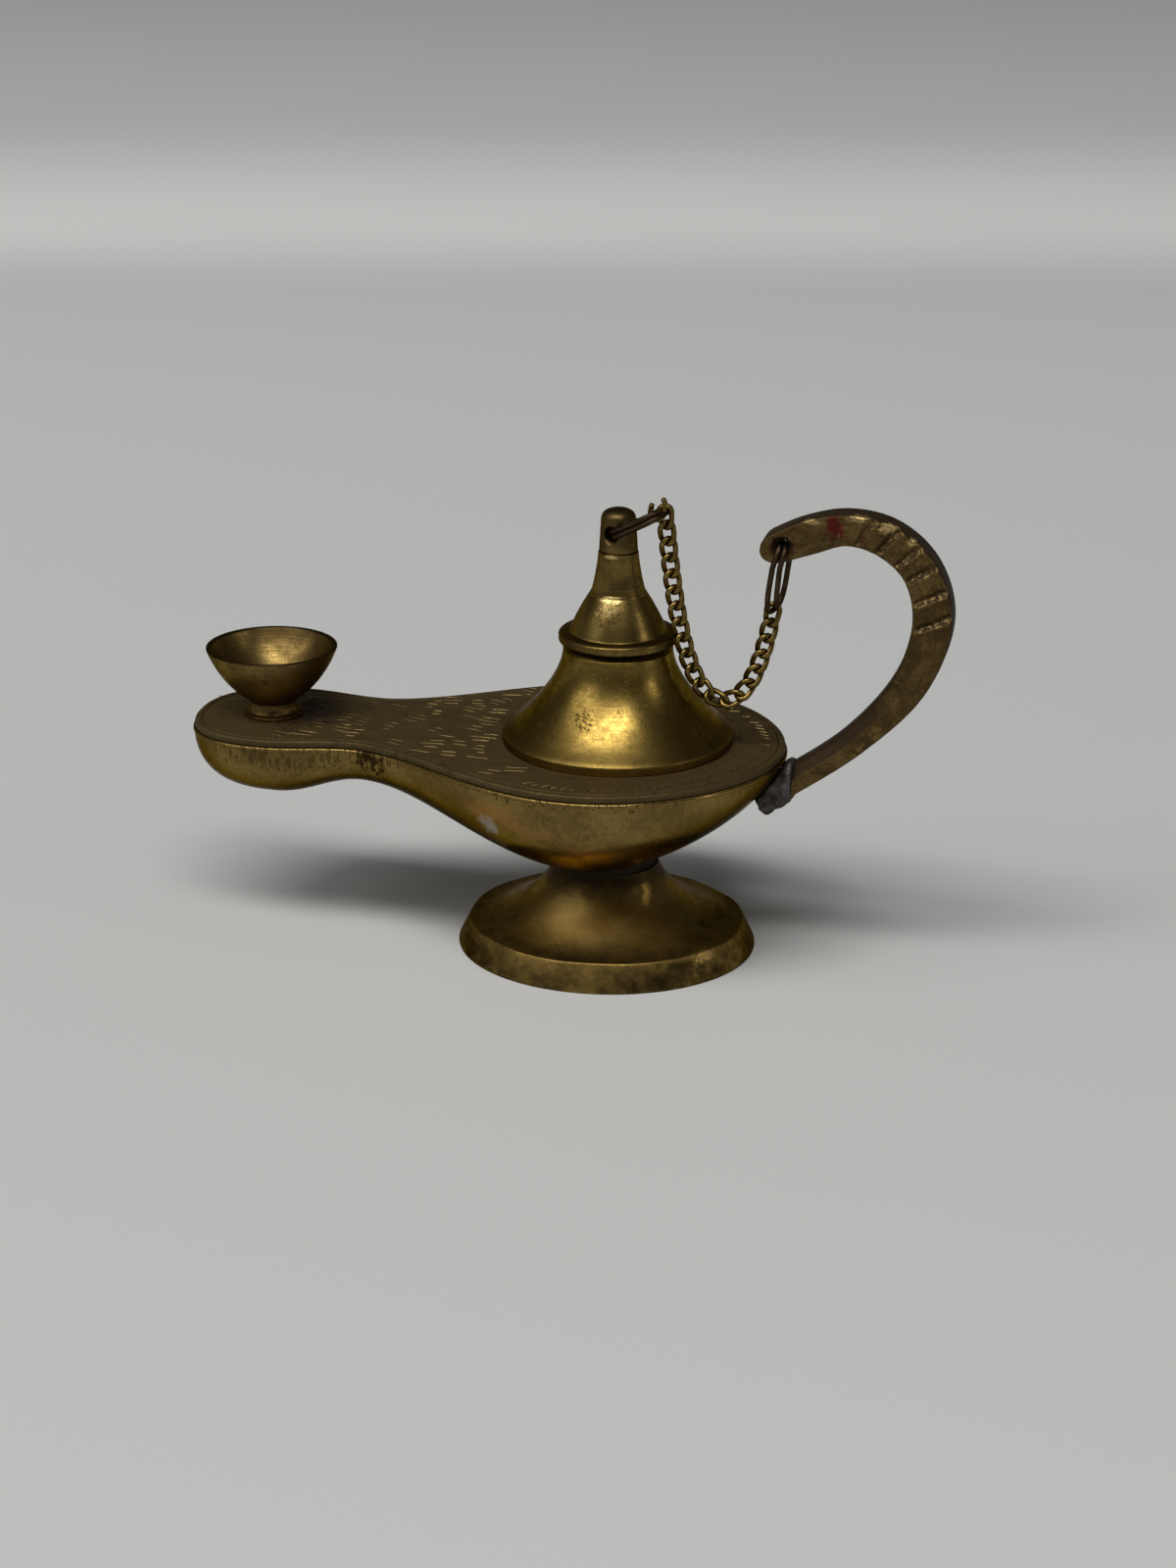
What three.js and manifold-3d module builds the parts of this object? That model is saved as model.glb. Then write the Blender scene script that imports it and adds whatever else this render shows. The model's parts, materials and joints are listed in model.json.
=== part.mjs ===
// A brass incense burner in the shape of an oil lamp: a boat-shaped bowl on a flared foot, an engraved deck,
// a bell-shaped neck with a lift-off lid on a curb chain, a small cup on the spout and a hooked handle.
// Millimetres, +Z up, spout towards -X, handle towards +X. The finished group stands on z = 0.

import * as THREE from "three";
import { mergeVertices } from "three/addons/utils/BufferGeometryUtils.js";
import { ParametricGeometry } from "three/addons/geometries/ParametricGeometry.js";
import Module from "manifold-3d";

// Clearances
const SOLDER_GAP = 0.35; // between a soldered piece and the curved wall it follows
const SPIGOT_GAP = 0.3; // around the lid's spigot in the neck
const LINK_PLAY = 0.2; // slack where two chain wires cross
const LOOP_PLAY = 0.4; // between a wire loop and the sides of the piece it hangs in

// Foot, slightly oval, hollow underneath
const FOOT_LENGTH = 54.2;
const FOOT_WIDTH = 50.4;
const FOOT_HEIGHT = 15.9;
const FOOT_BAND_HEIGHT = 5;
const FOOT_BAND_TAPER = 2.1;
const FOOT_COLLAR_RADIUS = 10;
const FOOT_COLLAR_HEIGHT = 1.4;
const FOOT_WALL = 2.4;
const FOOT_SWEEP_STEPS = 7;

// Hull: stations along X are measured from the neck's axis, depths from the hull's rim
const BODY_X = -2;
const BODY_HALF_WIDTH = 31.3;
const BODY_DEPTH = 21.65;
const REAR_LENGTH = 32.3;
const WAIST_TO_BODY = 44.5;
const WAIST_HALF_WIDTH = 13;
const WAIST_DEPTH = 9.2;
const SPOUT_TO_WAIST = 15.5;
const SPOUT_HALF_WIDTH = 15.3;
const SPOUT_DEPTH = 12.5;
const SPOUT_LENGTH = 16.5;
const HULL_WALL = 2;
const BOSS_DROP = 0.45; // how far the hull's round boss stands below its belly, on the foot
const BOSS_INSET = 0.4;
const SPOUT_PLAN_POWER = 2.3; // roundness of the ends, 2 is an ellipse
const SPOUT_DEPTH_POWER = 2.6;
const REAR_PLAN_POWER = 1.9;
const REAR_DEPTH_POWER = 1.45;
const BODY_PLAN_EASE = 0.85; // below 1 fills out the run from the waist to the body
const BODY_DEPTH_EASE = 0.92;

// Deck plate
const DECK_THICKNESS = 1.25;
const DECK_EDGE_ROUND = 0.3;
const DECK_HOLE_RADIUS = 13;

// Neck: a spun bell standing on the deck
const NECK_BASE_RADIUS = 20.7;
const NECK_BASE_BAND = 1.2;
const NECK_HEIGHT = 18.5;
const NECK_MOUTH_RADIUS = 9.8;
const NECK_CHAMFER = 0.9;
const NECK_WALL = 1.6;
const NECK_FLARE_POWER = 1.75;
const NECK_FLARE_STEPS = 9;

// Lid, turned about the neck's axis so that its cross hole faces the front left
const LID_TURN_DEG = -14;
const LID_FLANGE_RADIUS = 10.6;
const LID_FLANGE_THICKNESS = 1.8;
const LID_FLANGE_ROUND = 0.5;
const LID_SPIGOT_RADIUS = 7.7;
const LID_SPIGOT_LENGTH = 4;
const LID_WALL = 1.5;
const LID_CONE_BASE_RADIUS = 8.7;
const LID_CONE_TOP_RADIUS = 4.9;
const LID_CONE_HEIGHT = 7.4;
const LID_STEP = 0.3;
const LID_SPIRE_TOP_RADIUS = 3.55;
const LID_SPIRE_HEIGHT = 7.2;
const FINIAL_RADIUS = 3.3;
const FINIAL_HEIGHT = 5.9;
const FINIAL_DOME = 1.9;
const FINIAL_HOLE_RADIUS = 1.3;
const FINIAL_HOLE_HEIGHT = 3.6; // above the foot of the finial

// Cup on the spout
const CUP_TO_TIP = 13.9;
const CUP_RIM_RADIUS = 11.6;
const CUP_HEIGHT = 12.9;
const CUP_LIP = 0.9;
const CUP_STEM_RADIUS = 4.1;
const CUP_STEM_HEIGHT = 2.7;
const CUP_BASE_RADIUS = 5.4;
const CUP_BASE_THICKNESS = 0.6;
const CUP_FLOOR = 1.3;
const CUP_FLOOR_RADIUS = 2.5;
const CUP_BELLY = 1.1; // how far the bowl bulges out from a straight cone

// Handle: a flat cast hook, its middle line given in shares of its reach, rise and width
const HANDLE_REACH = 55.9; // from the neck's axis to the line's farthest point
const HANDLE_RISE = 41.7; // from the deck's top to the line's highest point
const HANDLE_WIDTH = 7;
const HANDLE_THICKNESS = 5.4;
const HANDLE_EDGE_ROUND = 0.9;
const HANDLE_TIP_ROUND = 3.2;
const HANDLE_HOLE_RADIUS = 1.7;
const HANDLE_HOLE_TO_TIP = 4.2;
const HANDLE_LINE = [
  { out: 0.458, up: 0.8753, width: 0.7286 },
  { out: 0.6029, up: 0.9568, width: 0.8857 },
  { out: 0.7245, up: 1, width: 0.8143 },
  { out: 0.8497, up: 0.964, width: 0.8857 },
  { out: 0.9553, up: 0.8417, width: 0.9286 },
  { out: 1, up: 0.6331, width: 1 },
  { out: 0.9392, up: 0.3549, width: 0.9 },
  { out: 0.7639, up: 0.0743, width: 0.6857 },
  { out: 0.4597, up: -0.2254, width: 0.6571 },
];
const HANDLE_STEPS = 40;
const HANDLE_STEP_POWER = 1.2; // above 1 sets the steps closer together at the tip
const HANDLE_SLOPE_STEP = 0.1; // how far apart two points are taken for the line's direction
const SOLDER_REACH = 1.3; // how far the solder wedge runs past the rear of the hull, where the handle ends
const SOLDER_SWELL = 0.4; // how far the wedge bulges past the handle

// Wire loops and chain
const LOOP_WIRE_RADIUS = 0.5;
const LOOP_POWER = 3.6; // squareness of a squashed loop, 2 is an ellipse
const LID_LOOP_LENGTH = 10.1; // from the middle of the cross hole to the wire at the far end
const LID_LOOP_RISE_DEG = 27;
const HANDLE_LOOP_LENGTH = 12.4;
const HANDLE_LOOP_LEAN_DEG = 8;
const LINK_WIRE_RADIUS = 0.4;
const LINK_PITCH = 2.95;
const LINK_WIDTH = 3.15;
const LINK_TWIST_DEG = 45;
const CHAIN_LENGTH = 59;
const CHAIN_SOLVE_STEPS = 60;
const CHAIN_PULL_LIMIT = 4; // the greatest pull looked for, in weights of the whole chain

// Fineness of the solids
const ROUND_STEPS = 32;
const DRILL_STEPS = 16;
const HULL_STATIONS = 36;
const HULL_ARC_STEPS = 12;
const HULL_TOP_STEPS = 3; // up one side of the raised top, across it and down the other
const CURVE_STEPS = 5;
const LOOP_STEPS = 24;
const LINK_STEPS = 18;
const LINK_SIDES = 5;
const LOOP_SIDES = 6;
const MERGE_DISTANCE = 1e-4;

// Heights and stations that follow from the sizes above
const RIM_Z = FOOT_HEIGHT + BOSS_DROP + BODY_DEPTH;
const DECK_Z = RIM_Z + DECK_THICKNESS;
const MOUTH_Z = DECK_Z + NECK_HEIGHT;
const REAR_X = BODY_X + REAR_LENGTH;
const WAIST_X = BODY_X - WAIST_TO_BODY;
const SPOUT_X = WAIST_X - SPOUT_TO_WAIST;
const TIP_X = SPOUT_X - SPOUT_LENGTH;
const NECK_BORE_RADIUS = LID_SPIGOT_RADIUS + SPIGOT_GAP;
const FINIAL_HOLE_Z = LID_FLANGE_THICKNESS + LID_CONE_HEIGHT + LID_SPIRE_HEIGHT + FINIAL_HOLE_HEIGHT;
const LINK_LENGTH = LINK_PITCH + 2 * LINK_WIRE_RADIUS + LINK_PLAY; // along the wire's middle line

const wasm = await Module();
wasm.setup();

// Turns a closed geometry into a solid, leaving out triangles that shrink to a line.
function toSolid(geometry) {
  const bare = geometry.clone();
  bare.deleteAttribute("normal");
  bare.deleteAttribute("uv");
  const merged = mergeVertices(bare, MERGE_DISTANCE);
  const corners = merged.index.array;
  const kept = [];
  for (let i = 0; i < corners.length; i += 3) {
    const [a, b, c] = corners.slice(i, i + 3);
    if (a !== b && b !== c && c !== a) kept.push(a, b, c);
  }
  const vertProperties = new Float32Array(merged.attributes.position.array);
  return new wasm.Manifold(new wasm.Mesh({ numProp: 3, vertProperties, triVerts: new Uint32Array(kept) }));
}

// Turns a solid back into a geometry.
function toGeometry(solid) {
  const mesh = solid.getMesh();
  const geometry = new THREE.BufferGeometry();
  geometry.setAttribute("position", new THREE.BufferAttribute(mesh.vertProperties, 3));
  geometry.setIndex(new THREE.BufferAttribute(mesh.triVerts, 1));
  geometry.computeVertexNormals();
  return geometry;
}

function metal(color, roughness, metalness = 1) {
  return new THREE.MeshStandardMaterial({ color, roughness, metalness });
}

const FINISH = {
  polished: metal(0xa07a2c, 0.32),
  aged: metal(0x7f6226, 0.42),
  engraved: metal(0x5a4824, 0.6),
  cast: metal(0x7a6130, 0.5),
  wire: metal(0x3a2a1c, 0.55),
  chain: metal(0x8a6434, 0.45),
  solder: metal(0x4c4848, 0.7, 0.6),
};

function named(name, geometry, material) {
  const mesh = new THREE.Mesh(geometry, material);
  mesh.name = name;
  return mesh;
}

function degrees(angle) {
  return THREE.MathUtils.degToRad(angle);
}

// Spins a closed profile of [radius, height] points about Z.
function spun(points, steps = ROUND_STEPS) {
  const profile = points.map(([radius, height]) => new THREE.Vector2(radius, height));
  profile.push(profile[0].clone());
  return new THREE.LatheGeometry(profile, steps).rotateX(Math.PI / 2);
}

// A rod along Y at the given x and z, twice as long as the thickness it drills through.
function drill(radius, thickness, x, z) {
  return toSolid(new THREE.CylinderGeometry(radius, radius, 2 * thickness, DRILL_STEPS).translate(x, 0, z));
}

// A quarter of a rounded end: 0 at the end itself and 1 where it reaches full size.
function roundedEnd(share, power) {
  return (1 - Math.min(1, Math.abs(share)) ** power) ** (1 / power);
}

// A soft run from one size to the next.
function eased(from, to, share, ease) {
  return from + ((to - from) * (1 - Math.cos(Math.PI * share ** ease))) / 2;
}

// A size of the hull's cross-section at a station along X, from its spout, waist and body values.
function hullSize(x, spout, waist, body, tipPower, rearPower, ease) {
  if (x < SPOUT_X) return spout * roundedEnd((SPOUT_X - x) / SPOUT_LENGTH, tipPower);
  if (x < WAIST_X) return eased(spout, waist, (x - SPOUT_X) / SPOUT_TO_WAIST, 1);
  if (x < BODY_X) return eased(waist, body, (x - WAIST_X) / WAIST_TO_BODY, ease);
  return body * roundedEnd((x - BODY_X) / REAR_LENGTH, rearPower);
}

function hullHalfWidth(x) {
  const sizes = [SPOUT_HALF_WIDTH, WAIST_HALF_WIDTH, BODY_HALF_WIDTH];
  return hullSize(x, ...sizes, SPOUT_PLAN_POWER, REAR_PLAN_POWER, BODY_PLAN_EASE);
}

function hullDepth(x) {
  const sizes = [SPOUT_DEPTH, WAIST_DEPTH, BODY_DEPTH];
  return hullSize(x, ...sizes, SPOUT_DEPTH_POWER, REAR_DEPTH_POWER, BODY_DEPTH_EASE);
}

// A station along the hull, set closer together towards both ends.
function hullStation(share) {
  return THREE.MathUtils.lerp(TIP_X, REAR_X, (1 - Math.cos(Math.PI * share)) / 2);
}

// The boat's solid with its rim at z = 0. A positive grow swells it, a negative one shrinks it, and its top
// is raised above the rim by the given height.
function boat(grow, raise) {
  const sides = HULL_ARC_STEPS + HULL_TOP_STEPS;
  const middle = (TIP_X + REAR_X) / 2;
  const stretch = 1 + (2 * grow) / (REAR_X - TIP_X);
  const shrunk = (size) => (size * size) / (size - grow);
  const swelled = (size) => (size > 0 ? size + grow : 0);
  const resized = grow < 0 ? shrunk : swelled;
  const surface = (around, along, target) => {
    const x = hullStation(along);
    const halfWidth = resized(hullHalfWidth(x));
    const depth = resized(hullDepth(x));
    const side = Math.round((1 - around) * sides);
    const turn = (Math.PI * side) / HULL_ARC_STEPS;
    const stretched = middle + (x - middle) * stretch;
    if (side === sides) target.set(stretched, halfWidth, 0);
    else if (side > HULL_ARC_STEPS + 1) target.set(stretched, halfWidth, raise);
    else if (side > HULL_ARC_STEPS) target.set(stretched, -halfWidth, raise);
    else target.set(stretched, halfWidth * Math.cos(turn), -depth * Math.sin(turn));
  };
  return toSolid(new ParametricGeometry(surface, sides, HULL_STATIONS));
}

function makeFoot() {
  const radius = FOOT_LENGTH / 2;
  const sweepStart = radius - FOOT_BAND_TAPER;
  const sweepHeight = FOOT_HEIGHT - FOOT_COLLAR_HEIGHT - FOOT_BAND_HEIGHT;
  const sweepWidth = sweepStart - FOOT_COLLAR_RADIUS;
  const sweep = (inset) =>
    Array.from({ length: FOOT_SWEEP_STEPS + 1 }, (_, i) => {
      const turn = (Math.PI / 2) * (i / FOOT_SWEEP_STEPS);
      const out = FOOT_COLLAR_RADIUS + sweepWidth * (1 - Math.sin(turn));
      return [out - inset, FOOT_BAND_HEIGHT + sweepHeight * (1 - Math.cos(turn)) - inset];
    });
  const outside = [[radius, 0], ...sweep(0), [FOOT_COLLAR_RADIUS, FOOT_HEIGHT], [0, FOOT_HEIGHT]];
  const inside = [...sweep(FOOT_WALL).reverse(), [radius - FOOT_WALL, 0]];
  const roof = inside[0][1];
  const geometry = spun([...outside, [0, roof], ...inside]);
  geometry.scale(1, FOOT_WIDTH / FOOT_LENGTH, 1);
  const foot = named("foot", geometry, FINISH.aged);
  foot.position.set(BODY_X, 0, 0);
  return foot;
}

function makeHull() {
  const bossRadius = FOOT_COLLAR_RADIUS - BOSS_INSET;
  const bossHeight = BOSS_DROP + HULL_WALL / 2;
  const boss = new THREE.CylinderGeometry(bossRadius, bossRadius, bossHeight, ROUND_STEPS);
  boss.rotateX(Math.PI / 2);
  boss.translate(BODY_X, 0, bossHeight / 2 - BODY_DEPTH - BOSS_DROP);
  const shell = boat(0, 0).add(toSolid(boss)).subtract(boat(-HULL_WALL, HULL_WALL));
  const hull = named("hull", toGeometry(shell), FINISH.polished);
  hull.position.z = RIM_Z;
  return hull;
}

// The deck's plan outline: one side from the spout's tip to the rear, then back along the other.
function deckOutline() {
  const stations = Array.from({ length: HULL_STATIONS + 1 }, (_, i) => hullStation(i / HULL_STATIONS));
  const side = (sign) => stations.map((x) => new THREE.Vector2(x, sign * hullHalfWidth(x)));
  return [...side(-1), ...side(1).reverse().slice(1, -1)];
}

function makeDeck() {
  const outline = new THREE.Shape(deckOutline());
  outline.holes.push(new THREE.Path().absarc(0, 0, DECK_HOLE_RADIUS, 0, 2 * Math.PI, true));
  const plate = new THREE.ExtrudeGeometry(outline, {
    depth: DECK_THICKNESS - DECK_EDGE_ROUND,
    bevelThickness: DECK_EDGE_ROUND / 2,
    bevelSize: DECK_EDGE_ROUND / 2,
    bevelOffset: -DECK_EDGE_ROUND / 2,
    bevelSegments: 1,
    curveSegments: ROUND_STEPS / 2,
  });
  plate.translate(0, 0, DECK_EDGE_ROUND / 2);
  const deck = named("deck", toGeometry(toSolid(plate)), FINISH.engraved);
  deck.position.z = RIM_Z;
  return deck;
}

function makeNeck() {
  const flareHeight = NECK_HEIGHT - NECK_CHAMFER - NECK_BASE_BAND;
  const spread = NECK_BASE_RADIUS - NECK_MOUTH_RADIUS;
  const flare = Array.from({ length: NECK_FLARE_STEPS + 1 }, (_, i) => {
    const share = i / NECK_FLARE_STEPS;
    const out = spread * (1 - share) ** NECK_FLARE_POWER;
    return [NECK_MOUTH_RADIUS + out, NECK_BASE_BAND + flareHeight * share];
  });
  const inside = flare
    .map(([radius, height]) => [Math.max(NECK_BORE_RADIUS, radius - NECK_WALL), height - NECK_BASE_BAND])
    .reverse();
  const lip = [
    [NECK_MOUTH_RADIUS - NECK_CHAMFER, NECK_HEIGHT],
    [NECK_BORE_RADIUS, NECK_HEIGHT],
  ];
  const neck = named("neck", spun([[NECK_BASE_RADIUS, 0], ...flare, ...lip, ...inside]), FINISH.polished);
  neck.position.z = DECK_Z;
  return neck;
}

// The lid stands on the neck's mouth at z = 0, with its spigot below and its cross hole along Y.
function makeLid() {
  const coneTop = LID_FLANGE_THICKNESS + LID_CONE_HEIGHT;
  const spireTop = coneTop + LID_SPIRE_HEIGHT;
  const finialTop = spireTop + FINIAL_HEIGHT;
  const profile = new THREE.Path();
  profile.moveTo(LID_SPIGOT_RADIUS, -LID_SPIGOT_LENGTH);
  profile.lineTo(LID_SPIGOT_RADIUS, 0);
  profile.lineTo(LID_FLANGE_RADIUS - LID_FLANGE_ROUND, 0);
  profile.lineTo(LID_FLANGE_RADIUS, LID_FLANGE_ROUND);
  profile.lineTo(LID_FLANGE_RADIUS, LID_FLANGE_THICKNESS - LID_FLANGE_ROUND);
  profile.lineTo(LID_FLANGE_RADIUS - LID_FLANGE_ROUND, LID_FLANGE_THICKNESS);
  profile.lineTo(LID_CONE_BASE_RADIUS, LID_FLANGE_THICKNESS);
  profile.lineTo(LID_CONE_TOP_RADIUS, coneTop);
  profile.lineTo(LID_CONE_TOP_RADIUS - LID_STEP, coneTop);
  const spireMiddle = coneTop + LID_SPIRE_HEIGHT / 2;
  profile.quadraticCurveTo(LID_SPIRE_TOP_RADIUS, spireMiddle, LID_SPIRE_TOP_RADIUS, spireTop);
  profile.lineTo(FINIAL_RADIUS, spireTop);
  profile.lineTo(FINIAL_RADIUS, finialTop);
  profile.quadraticCurveTo(FINIAL_RADIUS, finialTop + FINIAL_DOME, 0, finialTop + FINIAL_DOME);
  profile.lineTo(0, coneTop);
  profile.lineTo(LID_CONE_TOP_RADIUS - LID_STEP - LID_WALL, coneTop);
  profile.lineTo(LID_SPIGOT_RADIUS - LID_WALL, LID_FLANGE_THICKNESS);
  profile.lineTo(LID_SPIGOT_RADIUS - LID_WALL, -LID_SPIGOT_LENGTH);
  const points = profile.getPoints(CURVE_STEPS).map((point) => [point.x, point.y]);
  const body = toSolid(spun(points)).subtract(drill(FINIAL_HOLE_RADIUS, 2 * FINIAL_RADIUS, 0, FINIAL_HOLE_Z));
  return named("lid", toGeometry(body), FINISH.polished);
}

function makeCup() {
  const profile = new THREE.Path();
  const midRadius = (CUP_STEM_RADIUS + CUP_RIM_RADIUS) / 2 + CUP_BELLY;
  const midHeight = (CUP_STEM_HEIGHT + CUP_HEIGHT) / 2 - CUP_BELLY;
  const floorZ = CUP_STEM_HEIGHT + CUP_FLOOR;
  profile.moveTo(0, 0);
  profile.lineTo(CUP_BASE_RADIUS, 0);
  profile.lineTo(CUP_BASE_RADIUS, CUP_BASE_THICKNESS);
  profile.quadraticCurveTo(CUP_STEM_RADIUS, CUP_BASE_THICKNESS, CUP_STEM_RADIUS, CUP_STEM_HEIGHT);
  profile.quadraticCurveTo(midRadius, midHeight, CUP_RIM_RADIUS, CUP_HEIGHT);
  profile.lineTo(CUP_RIM_RADIUS - CUP_LIP, CUP_HEIGHT);
  profile.quadraticCurveTo(midRadius - CUP_LIP, midHeight + CUP_LIP, CUP_FLOOR_RADIUS, floorZ);
  profile.lineTo(0, floorZ);
  const points = profile.getPoints(CURVE_STEPS).map((point) => [point.x, point.y]);
  const cup = named("cup", spun(points), FINISH.aged);
  cup.position.set(TIP_X + CUP_TO_TIP, 0, DECK_Z);
  return cup;
}

// A curve through [x, z, width]
const handleLine = new THREE.CatmullRomCurve3(
  HANDLE_LINE.map(
    ({ out, up, width }) =>
      new THREE.Vector3(out * HANDLE_REACH, DECK_Z + up * HANDLE_RISE, width * HANDLE_WIDTH),
  ),
);

// The point of the handle's middle line at a distance from its tip.
function handlePoint(fromTip) {
  return handleLine.getPointAt(fromTip / handleLine.getLength());
}

const handleHole = handlePoint(HANDLE_HOLE_TO_TIP);

// The handle as a flat plate in the XZ plane, swelled all round by grow.
function handlePlate(grow) {
  const length = handleLine.getLength();
  const sides = [[], []];
  for (let i = 0; i <= HANDLE_STEPS; i++) {
    const fromTip = length * (i / HANDLE_STEPS) ** HANDLE_STEP_POWER;
    const point = handlePoint(fromTip);
    const ahead = handlePoint(Math.min(length, fromTip + HANDLE_SLOPE_STEP));
    const behind = handlePoint(Math.max(0, fromTip - HANDLE_SLOPE_STEP));
    const along = new THREE.Vector2(ahead.x - behind.x, ahead.y - behind.y).normalize();
    const tip = roundedEnd(1 - Math.min(1, fromTip / HANDLE_TIP_ROUND), 2);
    const reach = (point.z / 2) * tip + grow;
    sides[0].push(new THREE.Vector2(point.x - along.y * reach, point.y + along.x * reach));
    if (reach > 0) sides[1].unshift(new THREE.Vector2(point.x + along.y * reach, point.y - along.x * reach));
  }
  const outline = new THREE.Shape([...sides[0], ...sides[1]]);
  const plate = new THREE.ExtrudeGeometry(outline, {
    depth: HANDLE_THICKNESS + 2 * (grow - HANDLE_EDGE_ROUND),
    bevelThickness: HANDLE_EDGE_ROUND,
    bevelSize: HANDLE_EDGE_ROUND,
    bevelOffset: -HANDLE_EDGE_ROUND,
    bevelSegments: 2,
  });
  plate.translate(0, 0, HANDLE_EDGE_ROUND - HANDLE_THICKNESS / 2 - grow);
  plate.rotateX(Math.PI / 2);
  return toSolid(plate);
}

const hullClear = boat(SOLDER_GAP, DECK_THICKNESS + SOLDER_GAP).translate([0, 0, RIM_Z]);

// A block on the spout's side of a station along X, around the handle's root: as long as the hull's rear, and
// reaching as far above and below the deck as the neck is high.
function rootBlock(x) {
  const block = new THREE.BoxGeometry(REAR_LENGTH, BODY_HALF_WIDTH, 2 * NECK_HEIGHT);
  block.translate(x - REAR_LENGTH / 2, 0, DECK_Z);
  return toSolid(block);
}

function makeHandle() {
  const root = rootBlock(REAR_X + SOLDER_REACH + SOLDER_GAP);
  const hole = drill(HANDLE_HOLE_RADIUS, HANDLE_THICKNESS, handleHole.x, handleHole.y);
  const hook = handlePlate(0).subtract(root).subtract(hole);
  return named("handle", toGeometry(hook), FINISH.cast);
}

function makeSolder() {
  const wedge = handlePlate(SOLDER_SWELL).intersect(rootBlock(REAR_X + SOLDER_REACH)).subtract(hullClear);
  return named("handle_solder", toGeometry(wedge), FINISH.solder);
}

// A squashed wire loop in the XY plane, from x = 0 to its length, with its ends across X.
class LoopCurve extends THREE.Curve {
  constructor(length, width) {
    super();
    this.length = length;
    this.width = width;
  }
  getPoint(share, target = new THREE.Vector3()) {
    const turn = 2 * Math.PI * share;
    const squared = (value) => Math.sign(value) * Math.abs(value) ** (2 / LOOP_POWER);
    const x = (this.length / 2) * (1 - squared(Math.cos(turn)));
    return target.set(x, (this.width / 2) * squared(Math.sin(turn)), 0);
  }
}

// A loop's width across the middle of its wire, for a piece of the given thickness inside it.
function loopWidth(thickness) {
  return thickness + 2 * (LOOP_WIRE_RADIUS + LOOP_PLAY);
}

function makeLoop(name, length, thickness) {
  const curve = new LoopCurve(length, loopWidth(thickness));
  const ring = new THREE.TubeGeometry(curve, LOOP_STEPS, LOOP_WIRE_RADIUS, LOOP_SIDES, true);
  return named(name, ring, FINISH.wire);
}

// One curb link lying along X: a stadium of wire, twisted about its length from its near end to its far end.
class LinkCurve extends THREE.Curve {
  constructor(nearTwist, farTwist) {
    super();
    this.nearTwist = nearTwist;
    this.farTwist = farTwist;
  }
  getPoint(share, target = new THREE.Vector3()) {
    const bend = LINK_WIDTH / 2 - LINK_WIRE_RADIUS;
    const leg = LINK_LENGTH - 2 * bend;
    const total = 2 * leg + 2 * Math.PI * bend;
    const place = (((share % 1) + 1) % 1) * total;
    const half = place < total / 2 ? 1 : -1;
    const run = place % (total / 2);
    const turn = Math.max(0, run - leg) / bend;
    const x = half * (Math.min(run, leg) - leg / 2 + bend * Math.sin(turn));
    const y = half * -bend * Math.cos(turn);
    const twist = THREE.MathUtils.lerp(this.nearTwist, this.farTwist, 0.5 + x / LINK_LENGTH);
    return target.set(x, y * Math.cos(twist), y * Math.sin(twist));
  }
}

// The directions in which a hanging row of links points, from the horizontal distance and the drop between
// its ends: the sideways pull is the same in every link, and each one hangs its weight on the one before.
function hangingAngles(lengths, across, up) {
  const angles = (pull, start) => lengths.map((_, i) => Math.atan2(start + i, pull));
  const reach = (pull, start, part) =>
    angles(pull, start).reduce((sum, angle, i) => sum + lengths[i] * part(angle), 0);
  const search = (low, high, tooFar) => {
    for (let i = 0; i < CHAIN_SOLVE_STEPS; i++) {
      const middle = (low + high) / 2;
      if (tooFar(middle)) high = middle;
      else low = middle;
    }
    return low;
  };
  const limit = CHAIN_PULL_LIMIT * lengths.length;
  const startFor = (pull) => search(-limit, limit, (start) => reach(pull, start, Math.sin) > up);
  const pull = search(0, limit, (trial) => reach(trial, startFor(trial), Math.cos) > across);
  return angles(pull, startFor(pull));
}

function makeChain(from, to) {
  const count = Math.round(CHAIN_LENGTH / LINK_PITCH);
  const endLength = LINK_PITCH - LOOP_WIRE_RADIUS - LINK_PLAY / 2;
  const atEnd = (i) => i === 0 || i === count - 1;
  const lengths = Array.from({ length: count }, (_, i) => (atEnd(i) ? endLength : LINK_PITCH));
  const across = Math.hypot(to.x - from.x, to.y - from.y);
  const angles = hangingAngles(lengths, across, to.z - from.z);
  const chain = new THREE.Group();
  chain.position.copy(from);
  chain.rotation.set(Math.PI / 2, 0, Math.atan2(to.y - from.y, to.x - from.x), "ZYX");
  const end = new THREE.Vector3();
  angles.forEach((angle, i) => {
    const along = new THREE.Vector3(Math.cos(angle), Math.sin(angle), 0);
    const nearHalf = i === 0 ? lengths[i] - LINK_PITCH / 2 : LINK_PITCH / 2;
    const nearTwist = i === 0 ? 0 : -degrees(LINK_TWIST_DEG);
    const farTwist = i === count - 1 ? 0 : degrees(LINK_TWIST_DEG);
    const curve = new LinkCurve(nearTwist, farTwist);
    const wire = new THREE.TubeGeometry(curve, LINK_STEPS, LINK_WIRE_RADIUS, LINK_SIDES, true);
    const link = named("link_" + String(i + 1).padStart(2, "0"), wire, FINISH.chain);
    link.position.copy(end).addScaledVector(along, nearHalf);
    link.rotation.z = angle;
    end.addScaledVector(along, lengths[i]);
    chain.add(link);
  });
  return chain;
}

const lamp = new THREE.Group();
lamp.add(makeFoot(), makeHull(), makeDeck(), makeNeck(), makeCup(), makeHandle(), makeSolder());

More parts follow.
